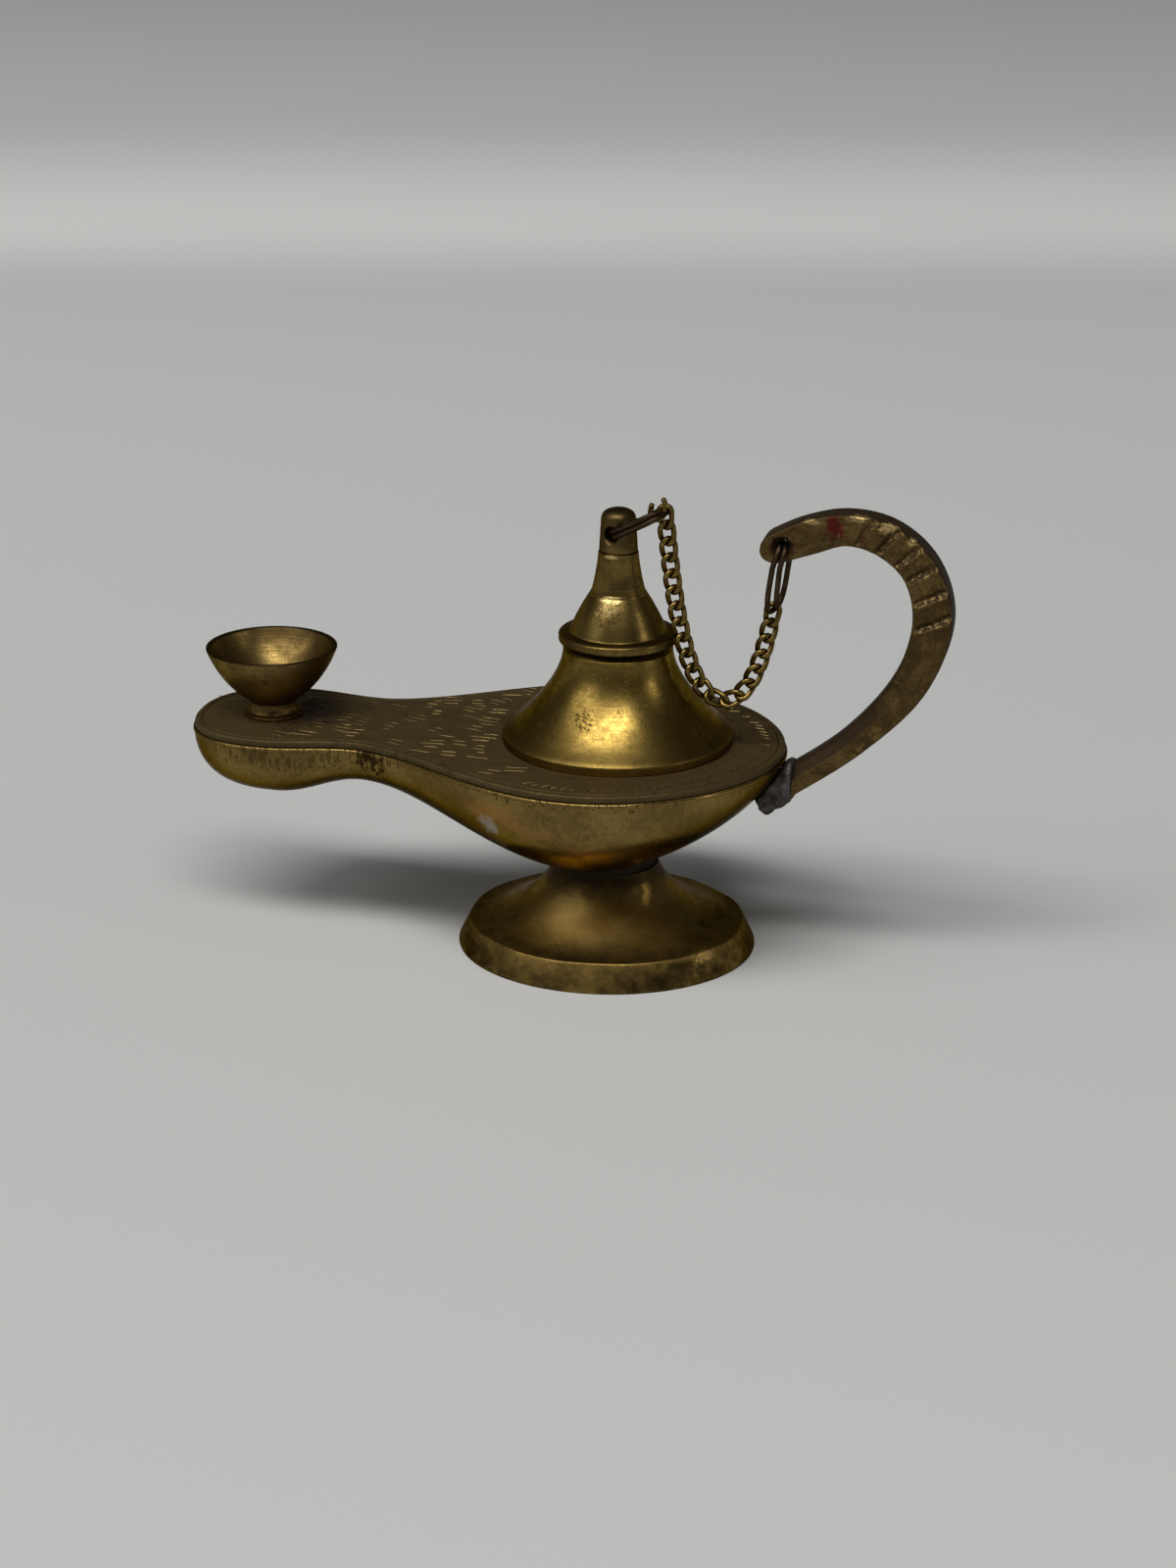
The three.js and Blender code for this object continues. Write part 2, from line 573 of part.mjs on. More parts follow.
const lidGroup = new THREE.Group();
lidGroup.position.z = MOUTH_Z;
lidGroup.rotation.z = degrees(LID_TURN_DEG);
const lidLoop = makeLoop("lid_loop", LID_LOOP_LENGTH, 2 * FINIAL_RADIUS);
lidLoop.position.z = FINIAL_HOLE_Z;
lidLoop.rotation.y = -degrees(LID_LOOP_RISE_DEG);
lidGroup.add(makeLid(), lidLoop);
lamp.add(lidGroup);

const handleLoop = makeLoop("handle_loop", HANDLE_LOOP_LENGTH, HANDLE_THICKNESS);
handleLoop.position.set(handleHole.x, 0, handleHole.y);
handleLoop.rotation.y = Math.PI / 2 + degrees(HANDLE_LOOP_LEAN_DEG);
lamp.add(handleLoop);

lamp.updateMatrixWorld(true);
const chainStart = lidLoop.localToWorld(new THREE.Vector3(LID_LOOP_LENGTH, 0, 0));
const chainEnd = handleLoop.localToWorld(new THREE.Vector3(HANDLE_LOOP_LENGTH, 0, 0));
lamp.add(makeChain(chainStart, chainEnd));

// The origin is under the middle of the whole lamp, on the surface it stands on.
const box = new THREE.Box3().setFromObject(lamp, true);
const centre = box.getCenter(new THREE.Vector3());
lamp.position.set(-centre.x, 0, -box.min.z);

export default lamp;
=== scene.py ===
"""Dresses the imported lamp-shaped incense burner for its picture.

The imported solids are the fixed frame. Every visible piece is built again with a fine mesh and a procedural finish,
in the same frame, and rides on the body of the solid that it replaces. Lengths are in millimetres until a mesh is
made. The spout points towards -X, the handle towards +X, and +Z is up.
"""

import json
import logging
import math
import random
from contextlib import contextmanager
from dataclasses import dataclass
from enum import Enum
from functools import reduce
from typing import Callable, Iterator, Optional, Sequence

import bmesh
import bpy
import numpy as np
from mathutils import Matrix, Vector, noise


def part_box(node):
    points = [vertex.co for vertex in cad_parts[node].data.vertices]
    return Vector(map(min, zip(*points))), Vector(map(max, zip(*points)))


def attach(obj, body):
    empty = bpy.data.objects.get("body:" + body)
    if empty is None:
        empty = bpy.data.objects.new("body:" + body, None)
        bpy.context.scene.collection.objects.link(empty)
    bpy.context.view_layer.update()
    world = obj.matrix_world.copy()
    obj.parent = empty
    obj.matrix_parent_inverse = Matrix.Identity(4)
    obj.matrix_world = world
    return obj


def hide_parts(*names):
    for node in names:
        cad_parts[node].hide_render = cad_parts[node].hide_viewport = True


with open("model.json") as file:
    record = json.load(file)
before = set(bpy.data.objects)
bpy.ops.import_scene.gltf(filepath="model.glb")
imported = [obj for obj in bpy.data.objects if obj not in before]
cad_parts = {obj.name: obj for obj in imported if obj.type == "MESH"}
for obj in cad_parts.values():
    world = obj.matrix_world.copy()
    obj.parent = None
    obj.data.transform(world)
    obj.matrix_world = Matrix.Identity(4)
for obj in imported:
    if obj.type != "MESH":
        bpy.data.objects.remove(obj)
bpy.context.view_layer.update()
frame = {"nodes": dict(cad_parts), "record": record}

LOG = logging.getLogger("lamp")
MM = 0.001
IMAGE_HEIGHT = 1600

Color = tuple[float, float, float]
Point2 = tuple[float, float]
Point3 = tuple[float, float, float]
Faces = list[tuple[int, ...]]
Shape = tuple[np.ndarray, Faces]
Piece = bpy.types.Object
Socket = bpy.types.NodeSocket

# Edges sharper than these angles, in degrees, stay crisp
TURNED_CREASE = 38.0
CAST_CREASE = 44.0
PLATE_CREASE = 50.0
FINE_CREASE = 60.0
ROUND_CREASE = 80.0

# How roundings, wire ends and drills are meshed
ROUNDING_STEPS = 4
ROUNDING_SHARE = 0.45
WIRE_CAP = ((0.55, 0.85), (0.85, 0.5))
CAP_LENGTH = 0.6
ANY_WAY = (0.31, 0.57, 0.76)
DRILL_SIDES = 48


def node_box(node: str) -> np.ndarray:
    """Gives a solid's lowest and highest corner in millimetres, one row each."""
    return np.array(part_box(node)) / MM


NECK, DECK = node_box("neck"), node_box("deck")
AXIS_X = float(NECK[0, 0] + NECK[1, 0]) / 2
RIM_Z, DECK_Z, MOUTH_Z = float(DECK[0, 2]), float(DECK[1, 2]), float(NECK[1, 2])


# Mesh making


def placed(name: str, data: bpy.types.ID) -> Piece:
    """Puts a mesh, a lamp or a camera into the scene as an object.

    Args:
        name: the object's name.
        data: the mesh, the lamp or the camera.

    Returns:
        The new object.
    """
    thing = bpy.data.objects.new(name, data)
    bpy.context.scene.collection.objects.link(thing)
    return thing


@contextmanager
def edited(mesh: bpy.types.Mesh) -> Iterator[bmesh.types.BMesh]:
    """Opens a mesh for changes and writes them back.

    Args:
        mesh: the mesh to change.

    Returns:
        The open mesh.
    """
    work = bmesh.new()
    work.from_mesh(mesh)
    yield work
    work.to_mesh(mesh)
    work.free()


def make_object(name: str, points: np.ndarray, faces: Faces, crease_deg: float = TURNED_CREASE) -> Piece:
    """Makes a smooth-shaded object from points in millimetres.

    Args:
        name: the piece's name.
        points: one row of x, y, z for each point.
        faces: the point numbers of each face.
        crease_deg: edges sharper than this stay crisp.

    Returns:
        The new object, in the scene.
    """
    mesh = bpy.data.meshes.new(name)
    mesh.from_pydata([tuple(p) for p in np.asarray(points, dtype=float) * MM], [], faces)
    settle(mesh, crease_deg)
    return placed(name, mesh)


def settle(mesh: bpy.types.Mesh, crease_deg: float) -> None:
    """Turns all faces outwards and shades them smoothly between crisp edges.

    Args:
        mesh: the mesh to treat.
        crease_deg: edges sharper than this stay crisp.
    """
    with edited(mesh) as work:
        bmesh.ops.remove_doubles(work, verts=work.verts, dist=1e-8)
        bmesh.ops.recalc_face_normals(work, faces=work.faces)
    mesh.polygons.foreach_set("use_smooth", [True] * len(mesh.polygons))
    mesh.set_sharp_from_angle(angle=math.radians(crease_deg))
    mesh.update()


def worked_in(piece: Piece) -> bpy.types.Mesh:
    """Works a piece's modifiers into its mesh.

    Args:
        piece: the piece with the modifiers.

    Returns:
        The piece's new mesh.
    """
    mesh = bpy.data.meshes.new_from_object(piece.evaluated_get(bpy.context.evaluated_depsgraph_get()))
    piece.modifiers.clear()
    old, piece.data = piece.data, mesh
    bpy.data.meshes.remove(old)
    return mesh


def strip(count: int, first: int, second: int, closed: bool = False) -> Faces:
    """Gives the faces between two rows of points, from the numbers of the rows' first points."""
    ahead = [*range(1, count), 0] if closed else range(1, count)
    return [(first + k, first + n, second + n, second + k) for k, n in enumerate(ahead)]


def unit(directions: np.ndarray) -> np.ndarray:
    """Gives each direction the length 1."""
    return directions / np.linalg.norm(directions, axis=-1, keepdims=True)


def run_along(points: np.ndarray) -> np.ndarray:
    """Gives each point's distance from the first along a line of points."""
    return np.concatenate([[0.0], np.cumsum(np.linalg.norm(np.diff(points, axis=0), axis=1))])


def clamped(value: float) -> float:
    """Keeps a value between 0 and 1."""
    return min(1.0, max(0.0, value))


def joined(parts: Sequence[Shape]) -> Shape:
    """Puts several meshes into one list of points and faces.

    Args:
        parts: the points and faces of each mesh.

    Returns:
        All points and all faces.
    """
    points = np.concatenate([np.asarray(part_points, dtype=float) for part_points, _ in parts])
    faces: Faces = []
    start = 0
    for part_points, part_faces in parts:
        faces += [tuple(i + start for i in face) for face in part_faces]
        start += len(part_points)
    return points, faces


def curved(start: np.ndarray, handle: np.ndarray, end: np.ndarray, steps: int) -> list[Point2]:
    """Gives the points of a curve that bends towards a handle.

    Args:
        start: where it begins.
        handle: the point that it bends towards.
        end: where it ends.
        steps: how many pieces it has.

    Returns:
        The points, both ends among them.
    """
    shares = [k / steps for k in range(steps + 1)]
    spots = [start * (1 - t) ** 2 + handle * 2 * t * (1 - t) + end * t ** 2 for t in shares]
    return [(float(x), float(y)) for x, y in spots]


def filleted(corners: Sequence[Point3], closed: bool) -> list[Point2]:
    """Rounds the corners of a profile.

    Args:
        corners: radius, height and rounding of each corner.
        closed: whether the last corner runs back to the first.

    Returns:
        The rounded profile.
    """
    spots = [np.array(c[:2], dtype=float) for c in corners]
    count = len(spots)
    profile: list[Point2] = []
    for i, (here, corner) in enumerate(zip(spots, corners)):
        inner = closed or 0 < i < count - 1
        if corner[2] <= 0 or not inner:
            profile.append((float(here[0]), float(here[1])))
            continue
        ways = [spots[i - 1] - here, spots[(i + 1) % count] - here]
        away = min(corner[2], *(ROUNDING_SHARE * float(np.linalg.norm(way)) for way in ways))
        first, last = (here + way / np.linalg.norm(way) * away for way in ways)
        profile += curved(first, here, last, ROUNDING_STEPS)
    return profile


def bend(start: Point2, handle: Point2, end: Point2, steps: int) -> list[Point3]:
    """Gives the corners of a curved stretch of profile, without its start and with no rounding."""
    ends = (np.array(p, dtype=float) for p in (start, handle, end))
    return [(out, up, 0.0) for out, up in curved(*ends, steps)[1:]]


def revolved(profile: Sequence[Point2], steps: int, closed: bool,
             trim: Optional[Callable[[float, float, float], float]] = None) -> Shape:
    """Turns a profile about Z.

    Args:
        profile: radius and height of each point.
        steps: how many pieces the turn has.
        closed: whether the profile is a closed loop clear of the axis.
        trim: gives the radius to use from a radius, a height and an angle.

    Returns:
        The points and faces.
    """
    points: list[Point3] = []
    rings: list[list[int]] = []
    for radius, height in profile:
        if radius < 1e-6:
            rings.append([len(points)] * steps)
            points.append((0.0, 0.0, height))
            continue
        rings.append(list(range(len(points), len(points) + steps)))
        for k in range(steps):
            turn = 2 * math.pi * k / steps
            out = trim(radius, height, turn) if trim else radius
            points.append((out * math.cos(turn), out * math.sin(turn), height))
    faces: Faces = []
    pairs = list(zip(rings, rings[1:]))
    if closed:
        pairs.append((rings[-1], rings[0]))
    for low, high in pairs:
        for k in range(steps):
            j = (k + 1) % steps
            face = list(dict.fromkeys((low[k], low[j], high[j], high[k])))
            if len(face) > 2:
                faces.append(tuple(face))
    return np.array(points), faces


def swept(path: np.ndarray, radius: float, sides: int, closed: bool) -> Shape:
    """Runs a round wire along a path.

    Args:
        path: the points of the wire's middle line.
        radius: half the wire's thickness.
        sides: how many sides the wire has.
        closed: whether the path runs back to its start; an open wire gets rounded ends.

    Returns:
        The points and faces.
    """
    path = np.asarray(path, dtype=float)
    count = len(path)
    ahead, behind = np.roll(path, -1, axis=0), np.roll(path, 1, axis=0)
    if not closed:
        ahead[-1] = path[-1] + (path[-1] - path[-2])
        behind[0] = path[0] - (path[1] - path[0])
    along = unit(ahead - behind)
    frames = [unit(np.cross(along[0], ANY_WAY))]
    for way in along[1:]:
        frames.append(unit(frames[-1] - way * np.dot(frames[-1], way)))
    spin = 0.0
    if closed:
        last = unit(frames[-1] - along[0] * np.dot(frames[-1], along[0]))
        spin = math.atan2(np.dot(np.cross(last, frames[0]), along[0]), np.dot(last, frames[0]))
    spots = [(path[k], frames[k], along[k], radius, spin * k / count) for k in range(count)]
    if not closed:
        start, end = ([(path[k] + along[k] * way * radius * out * CAP_LENGTH, frames[k], along[k], radius * thin, 0.0)
                       for out, thin in WIRE_CAP] for k, way in ((0, -1), (-1, 1)))
        spots = start[::-1] + spots + end
    points = []
    for middle, normal, tangent, size, extra in spots:
        other = np.cross(tangent, normal)
        for s in range(sides):
            turn = 2 * math.pi * s / sides + extra
            points.append(middle + (normal * math.cos(turn) + other * math.sin(turn)) * size)
    rows = len(spots)
    faces: Faces = []
    for k in range(rows if closed else rows - 1):
        faces += strip(sides, k * sides, (k + 1) % rows * sides, True)
    if not closed:
        faces += [tuple(range(sides)), tuple(range((rows - 1) * sides, rows * sides))]
    return np.array(points), faces


def drill(piece: Piece, rod: Sequence[Point2], place: Matrix, crease_deg: float) -> None:
    """Drills a round hole through a piece.

    Args:
        piece: the piece to drill.
        rod: the drill's radius at each place along its axis.
        place: where the drill goes, in millimetres.
        crease_deg: edges sharper than this stay crisp.
    """
    points, faces = revolved(rod, DRILL_SIDES, False)
    cutter = make_object("cutter", moved(points, place), faces)
    modifier = piece.modifiers.new("cut", "BOOLEAN")
    modifier.operation, modifier.solver, modifier.object = "DIFFERENCE", "EXACT", cutter
    mesh = worked_in(piece)
    bpy.data.objects.remove(cutter)
    settle(mesh, crease_deg)


def moved(points: np.ndarray, matrix: Matrix) -> np.ndarray:
    """Moves points by a matrix whose lengths are in millimetres."""
    turn = np.array(matrix)
    return np.asarray(points) @ turn[:3, :3].T + turn[:3, 3]


def dress(piece: Piece, finish: "Finish", body: str, slot: str, *nodes: str) -> Piece:
    """Gives a piece its finish and tells the frame where it belongs.

    Args:
        piece: the piece.
        finish: the finish to wear.
        body: the body that it rides on.
        slot: the record's material slot; not used.
        nodes: the solids that it stands for.

    Returns:
        The same piece.
    """
    piece.data.materials.clear()
    piece.data.materials.append(finish.material())
    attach(piece, body)
    if nodes:
        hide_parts(*nodes)
    LOG.info("%s rides on %s with %d faces", piece.name, body, len(piece.data.polygons))
    return piece


# Finishes

GRAZING_TINT: Color = (0.42, 0.38, 0.34)
# The colour of the painted highlight glints on the notch flanks that face the light
FLANK_HIGHLIGHT: Color = (0.30, 0.20, 0.08)

# The mix node's first socket to mix and its result, for each kind of data
MIX_SOCKETS = {"RGBA": (6, 2), "FLOAT": (2, 0)}

# How much clouds, specks and tool marks decide where metal is tarnished, and how softly
MOOD_SHARES = (0.62, 0.26, 0.12)
MOOD_SOFTNESS = 0.11

# Sizes of specks, deep stains and pitted fields against a finish's patches, and of pits and painted glints in
# millimetres
SPECK_SIZE = 0.12
DEEP_SIZE = 0.55
FIELD_SIZE = 0.8
PIT_SIZE = 0.42
PAINTED_GLINT_SIZE = 0.7

# How high specks stand and how deep pits lie against full tool marks
SPECK_RELIEF = 0.5
PIT_RELIEF = -1.6
RELIEF_STRENGTH = 0.6


class NodeBench:
    """Writes the nodes of one material."""

    def __init__(self, name: str) -> None:
        """Makes an empty material with a shader and its output.

        Args:
            name: the material's name.
        """
        self.material = bpy.data.materials.new(name)
        self.material.use_nodes = True
        self.tree = self.material.node_tree
        self.tree.nodes.clear()
        output = self.tree.nodes.new("ShaderNodeOutputMaterial")
        self.shader = self.tree.nodes.new("ShaderNodeBsdfPrincipled")
        self.tree.links.new(self.shader.outputs["BSDF"], output.inputs["Surface"])
        source = self.tree.nodes.new("ShaderNodeTexCoord")
        self.coords, self.normal = source.outputs["Object"], source.outputs["Normal"]

    def feed(self, socket: Socket, value: object) -> None:
        """Links another socket to this one, or sets it to a fixed value.

        Args:
            socket: the socket to feed.
            value: the other socket or the fixed value.
        """
        if isinstance(value, Socket):
            self.tree.links.new(value, socket)
        elif isinstance(value, tuple) and socket.type == "RGBA":
            socket.default_value = (*value, 1.0)
        else:
            socket.default_value = value

    def node(self, kind: str, *values: object, **settings: str) -> bpy.types.Node:
        """Adds a node.

        Args:
            kind: the node's type.
            values: what its first sockets are fed with.
            settings: its choices among named options.

        Returns:
            The node.
        """
        node = self.tree.nodes.new(kind)
        for name, setting in settings.items():
            setattr(node, name, setting)
        for socket, value in zip(node.inputs, values):
            self.feed(socket, value)
        return node

    def math(self, operation: str, *values: object) -> Socket:
        """Works out one sum of one or two values."""
        return self.node("ShaderNodeMath", *values, operation=operation).outputs[0]

    def times(self, first: object, second: object) -> Socket:
        """Multiplies two values."""
        return self.math("MULTIPLY", first, second)

    def plus(self, first: object, second: object) -> Socket:
        """Adds two values."""
        return self.math("ADD", first, second)

    def weighed(self, *terms: tuple[object, float]) -> Socket:
        """Adds up values, each times its weight."""
        return reduce(self.plus, [self.times(*term) for term in terms])

    def vector(self, operation: str, *values: object) -> Socket:
        """Works out one sum of vectors; a length and a dot product are values."""
        node = self.node("ShaderNodeVectorMath", *values, operation=operation)
        return node.outputs["Value" if operation in ("LENGTH", "DOT_PRODUCT") else "Vector"]

    def seen_from(self, place: Point3) -> Socket:
        """Gives the coordinates as counted from a place in millimetres."""
        return self.vector("SUBTRACT", self.coords, tuple(v * MM for v in place))

    def split(self, vector: object) -> list[Socket]:
        """Gives the x, y and z of a vector."""
        return list(self.node("ShaderNodeSeparateXYZ", vector).outputs)

    def combine(self, x: object, y: object, z: object) -> Socket:
        """Makes a vector from three values."""
        return self.node("ShaderNodeCombineXYZ", x, y, z).outputs[0]

    def noise(self, vector: object, scale: float, detail: float = 4.0, rough: float = 0.55,
              swirl: float = 0.0) -> Socket:
        """Gives a cloudy value from 0 to 1 around 0.5.

        Args:
            vector: the coordinates.
            scale: how many clouds there are in a unit.
            detail: how many finer layers they have.
            rough: how strong these are.
            swirl: how far the clouds are drawn about.

        Returns:
            The value.
        """
        node = self.tree.nodes.new("ShaderNodeTexNoise")
        names = ("Vector", "Scale", "Detail", "Roughness", "Distortion")
        for name, value in zip(names, (vector, scale, detail, rough, swirl)):
            self.feed(node.inputs[name], value)
        return node.outputs["Fac"]

    def band(self, value: object, low: float, high: float, start: float = 0.0, end: float = 1.0) -> Socket:
        """Runs softly from start to end while a value goes from low to high."""
        values = (value, low, high, start, end)
        return self.node("ShaderNodeMapRange", *values, interpolation_type="SMOOTHSTEP").outputs[0]

    def mix(self, share: object, first: object, second: object) -> Socket:
        """Mixes two colours, or two values where the second isn't a colour.

        Args:
            share: how much of the second there is.
            first: the first colour or value.
            second: the second one.

        Returns:
            The mix.
        """
        node = self.tree.nodes.new("ShaderNodeMix")
        node.data_type = "RGBA" if isinstance(second, tuple) else "FLOAT"
        start, result = MIX_SOCKETS[node.data_type]
        for number, value in zip((0, start, start + 1), (share, first, second)):
            self.feed(node.inputs[number], value)
        return node.outputs[result]


@dataclass
class Coat:
    """What the layers of a finish have come to so far."""

    bench: NodeBench
    colour: object
    rough: object
    metal: object

    def tint(self, share: object, colour: Color) -> None:
        """Lays a colour over a share of the metal."""
        self.colour = self.bench.mix(share, self.colour, colour)

    def roughen(self, share: object, rough: float) -> None:
        """Gives a share of the metal another roughness."""
        self.rough = self.bench.mix(share, self.rough, rough)

    def cover(self, share: object, colour: Color, rough: float, metal: Optional[float] = None) -> None:
        """Lays a layer over a share of the metal.

        Args:
            share: where the layer lies, from 0 to 1.
            colour: the layer's colour.
            rough: its roughness.
            metal: how metallic it is, if that differs from the metal below.
        """
        self.tint(share, colour)
        self.roughen(share, rough)
        if metal is not None:
            self.metal = self.bench.mix(share, self.metal, metal)


class Grain(Enum):
    """Which way the tool marks of a finish run."""

    TURNED = "rings about the upright axis"
    FILED = "short strokes down the side"
    HOOPED = "strokes along a hoop about the Y axis"
    CAST = "no direction"


@dataclass(frozen=True)
class StainOrPaintedLight:
    """A ragged patch of another colour at one place of a piece; some are real stains and some are painted highlight,
    reflection or shade.
    """

    place: Point3
    reach: Point3
    colour: Color
    strength: float = 1.0
    ragged: float = 0.6
    grit: float = 900.0
    metal: float = 1.0
    rough: float = 0.5
    soft: float = 0.5
    drawn: Point3 = (1.0, 1.0, 1.0)
    least: float = 0.0


@dataclass(frozen=True)
class Finish:
    """An aged metal finish: three tones, tool marks, pits, worn edges, stains, a darkening of the sides, painted glints
    and patches of painted light.
    """

    name: str
    bright: Color
    middle: Color
    dark: Color
    gloss: Point2 = (0.26, 0.5)
    tarnish: float = 0.5
    patch: float = 9.0
    grain: Grain = Grain.CAST
    centre: Point3 = (AXIS_X, 0.0, 0.0)
    marks: float = 0.25
    mark_size: float = 0.25
    pits: float = 0.5
    wear: float = 0.5
    dirt: float = 0.6
    metal: float = 1.0
    bump: float = 0.05
    # how much the sides are darkened, chosen by which way they face
    side_darkening: float = 0.0
    face_axis: Point3 = (0.0, 1.0, 0.0)
    # how strongly painted highlight glints cover the flanks that face the light
    flank_highlight: float = 0.0
    stains_and_painted_light: tuple[StainOrPaintedLight, ...] = ()

    def grain_coords(self, bench: NodeBench) -> Socket:
        """Gives coordinates that are stretched along the tool marks.

        Args:
            bench: the material's node bench.

        Returns:
            A vector for a noise.
        """
        shifted = bench.seen_from(self.centre)
        x, y, z = bench.split(shifted)
        fine = 1.0 / (self.mark_size * MM)
        if self.grain is Grain.TURNED:
            slow = fine * 0.012
            flat = bench.vector("LENGTH", bench.combine(x, y, 0.0))
            run = bench.weighed((flat, fine * 0.6), (z, fine))
            return bench.combine(bench.times(x, slow), bench.times(y, slow), run)
        if self.grain is Grain.HOOPED:
            slow = fine * 0.03
            flat = bench.vector("LENGTH", bench.combine(x, 0.0, z))
            run = bench.weighed((flat, fine), (y, fine * 0.8))
            return bench.combine(bench.times(x, slow), run, bench.times(z, slow))
        stretch = 0.07 if self.grain is Grain.FILED else 1.0
        return bench.vector("MULTIPLY", shifted, (fine, fine, fine * stretch))

    def clouds(self, bench: NodeBench, size: float, *form: float) -> Socket:
        """Gives a cloudy value whose patches are a share of the finish's own."""
        return bench.noise(bench.coords, 1.0 / MM / (self.patch * size), *form)

    def darker(self, share: float) -> Color:
        """Gives a share of the finish's dark tone."""
        return tuple(v * share for v in self.dark)

    def material(self) -> bpy.types.Material:
        """Gives the finish's material, which is made once."""
        return bpy.data.materials.get(self.name) or self.made(NodeBench(self.name))

    def made(self, bench: NodeBench) -> bpy.types.Material:
        """Lays the tones, tool marks, pits, wear, dirt, side darkening, painted glints, stains and patches of painted
        light over each other.

        Args:
            bench: the material's node bench.

        Returns:
            The material.
        """
        bench.feed(bench.shader.inputs["Specular Tint"], GRAZING_TINT)
        clouds = self.clouds(bench, 1.0, 6.0, 0.6, 0.4)
        specks = self.clouds(bench, SPECK_SIZE, 5.0, 0.65)
        marks = bench.noise(self.grain_coords(bench), 1.0, 3.0, 0.6)
        mood = bench.weighed(*zip((clouds, specks, marks), MOOD_SHARES))
        middle = 0.62 - 0.24 * self.tarnish
        tarnished = bench.band(mood, middle - MOOD_SOFTNESS, middle + MOOD_SOFTNESS)
        streak = bench.band(marks, 0.35, 0.7)
        rough = bench.mix(tarnished, *self.gloss)
        rough = bench.plus(rough, bench.times(bench.math("SUBTRACT", specks, 0.5), 0.16))
        rough = bench.plus(rough, bench.times(streak, self.marks * 0.12))
        coat = Coat(bench, bench.mix(tarnished, self.bright, self.middle), rough, self.metal)
        deep = bench.band(self.clouds(bench, DEEP_SIZE, 7.0, 0.7), 0.56, 0.74)
        coat.tint(bench.times(deep, min(1.0, 0.35 + 0.65 * self.tarnish)), self.dark)
        coat.tint(bench.times(streak, self.marks * 0.6), self.dark)
        pits = self.lay_pits(coat)
        self.lay_wear(coat, specks)
        if self.side_darkening:
            self.lay_side_darkening(coat)
        if self.flank_highlight:
            self.lay_painted_glints(coat)
        for stain_or_light in self.stains_and_painted_light:
            metal = None if stain_or_light.metal == self.metal else stain_or_light.metal
            coat.cover(self.stain_or_light_share(bench, stain_or_light), stain_or_light.colour, stain_or_light.rough, metal)
        for name, value in (("Base Color", coat.colour), ("Roughness", coat.rough), ("Metallic", coat.metal)):
            bench.feed(bench.shader.inputs[name], value)
        self.add_relief(bench, (marks, self.marks), (specks, SPECK_RELIEF), (pits, PIT_RELIEF))
        return bench.material

    def lay_pits(self, coat: Coat) -> Socket:
        """Lays fields of small dark pits over a coat.

        Args:
            coat: the coat.

        Returns:
            Where the pits are, from 0 to 1.
        """
        bench = coat.bench
        field = bench.band(self.clouds(bench, FIELD_SIZE, 2.0), 0.5, 0.66)
        dots = bench.band(bench.noise(bench.coords, 1.0 / MM / PIT_SIZE, 2.0, 0.5), 0.63, 0.7)
        pits = bench.times(bench.times(dots, field), self.pits)
        coat.tint(bench.times(pits, 0.85), self.darker(0.35))
        coat.roughen(pits, 0.75)
        return pits

    def lay_wear(self, coat: Coat, specks: Socket) -> None:
        """Rubs edges that stand out and leaves dirt in corners.

        Args:
            coat: the coat.
            specks: the small unevenness.
        """
        bench = coat.bench
        stand = bench.tree.nodes.new("ShaderNodeNewGeometry").outputs["Pointiness"]
        edge = bench.times(bench.band(stand, 0.515, 0.56), bench.band(specks, 0.3, 0.5))
        coat.tint(bench.times(edge, self.wear), self.bright)
        coat.roughen(bench.times(edge, self.wear * 0.7), self.gloss[0])
        coat.cover(bench.times(bench.band(stand, 0.488, 0.44), self.dirt), self.darker(0.3), 0.8)

    def lay_side_darkening(self, coat: Coat) -> None:
        """Darkens the sides of a flat piece.

        Args:
            coat: the coat.
        """
        bench = coat.bench
        facing = bench.math("ABSOLUTE", bench.vector("DOT_PRODUCT", bench.normal, self.face_axis))
        side = bench.times(bench.band(facing, 0.94, 0.72), self.side_darkening)
        coat.cover(side, self.darker(0.7), 0.6, self.metal * 0.45)

    def lay_painted_glints(self, coat: Coat) -> None:
        """Paints glints of highlight onto the spots of a hoop's near face that look back towards its tip, the notch
        flanks that face the light.

        Args:
            coat: the coat.
        """
        bench = coat.bench
        painted_glints = bench.band(bench.noise(bench.coords, 1.0 / MM / PAINTED_GLINT_SIZE, 4.0, 0.7), 0.47, 0.68, 0.0, self.flank_highlight)
        x, _, z = bench.split(bench.seen_from(self.centre))
        across, through, up = bench.split(bench.normal)
        turned = bench.math("SUBTRACT", bench.times(x, up), bench.times(z, across))
        away = bench.vector("LENGTH", bench.combine(x, 0.0, z))
        back = bench.band(bench.math("DIVIDE", turned, away), 0.1, 0.36)
        share = bench.times(back, bench.band(through, -0.5, -0.7))
        coat.cover(bench.times(share, painted_glints), FLANK_HIGHLIGHT, self.gloss[0])

    def stain_or_light_share(self, bench: NodeBench, stain_or_light: StainOrPaintedLight) -> Socket:
        """Works out where a stain or a patch of painted light covers the metal.

        Args:
            bench: the material's node bench.
            stain_or_light: the patch, a real stain or painted light.

        Returns:
            A value from 0 to 1.
        """
        scaled = bench.vector("DIVIDE", bench.seen_from(stain_or_light.place), tuple(v * MM for v in stain_or_light.reach))
        drawn = bench.vector("MULTIPLY", bench.coords, stain_or_light.drawn)
        cloud = bench.math("SUBTRACT", bench.noise(drawn, stain_or_light.grit, 5.0, 0.65), 0.5)
        away = bench.math("MAXIMUM", bench.vector("LENGTH", scaled), stain_or_light.least)
        ragged = bench.plus(away, bench.times(cloud, stain_or_light.ragged * 2.0))
        return bench.band(ragged, 1.0, 1.0 - stain_or_light.soft, 0.0, stain_or_light.strength)

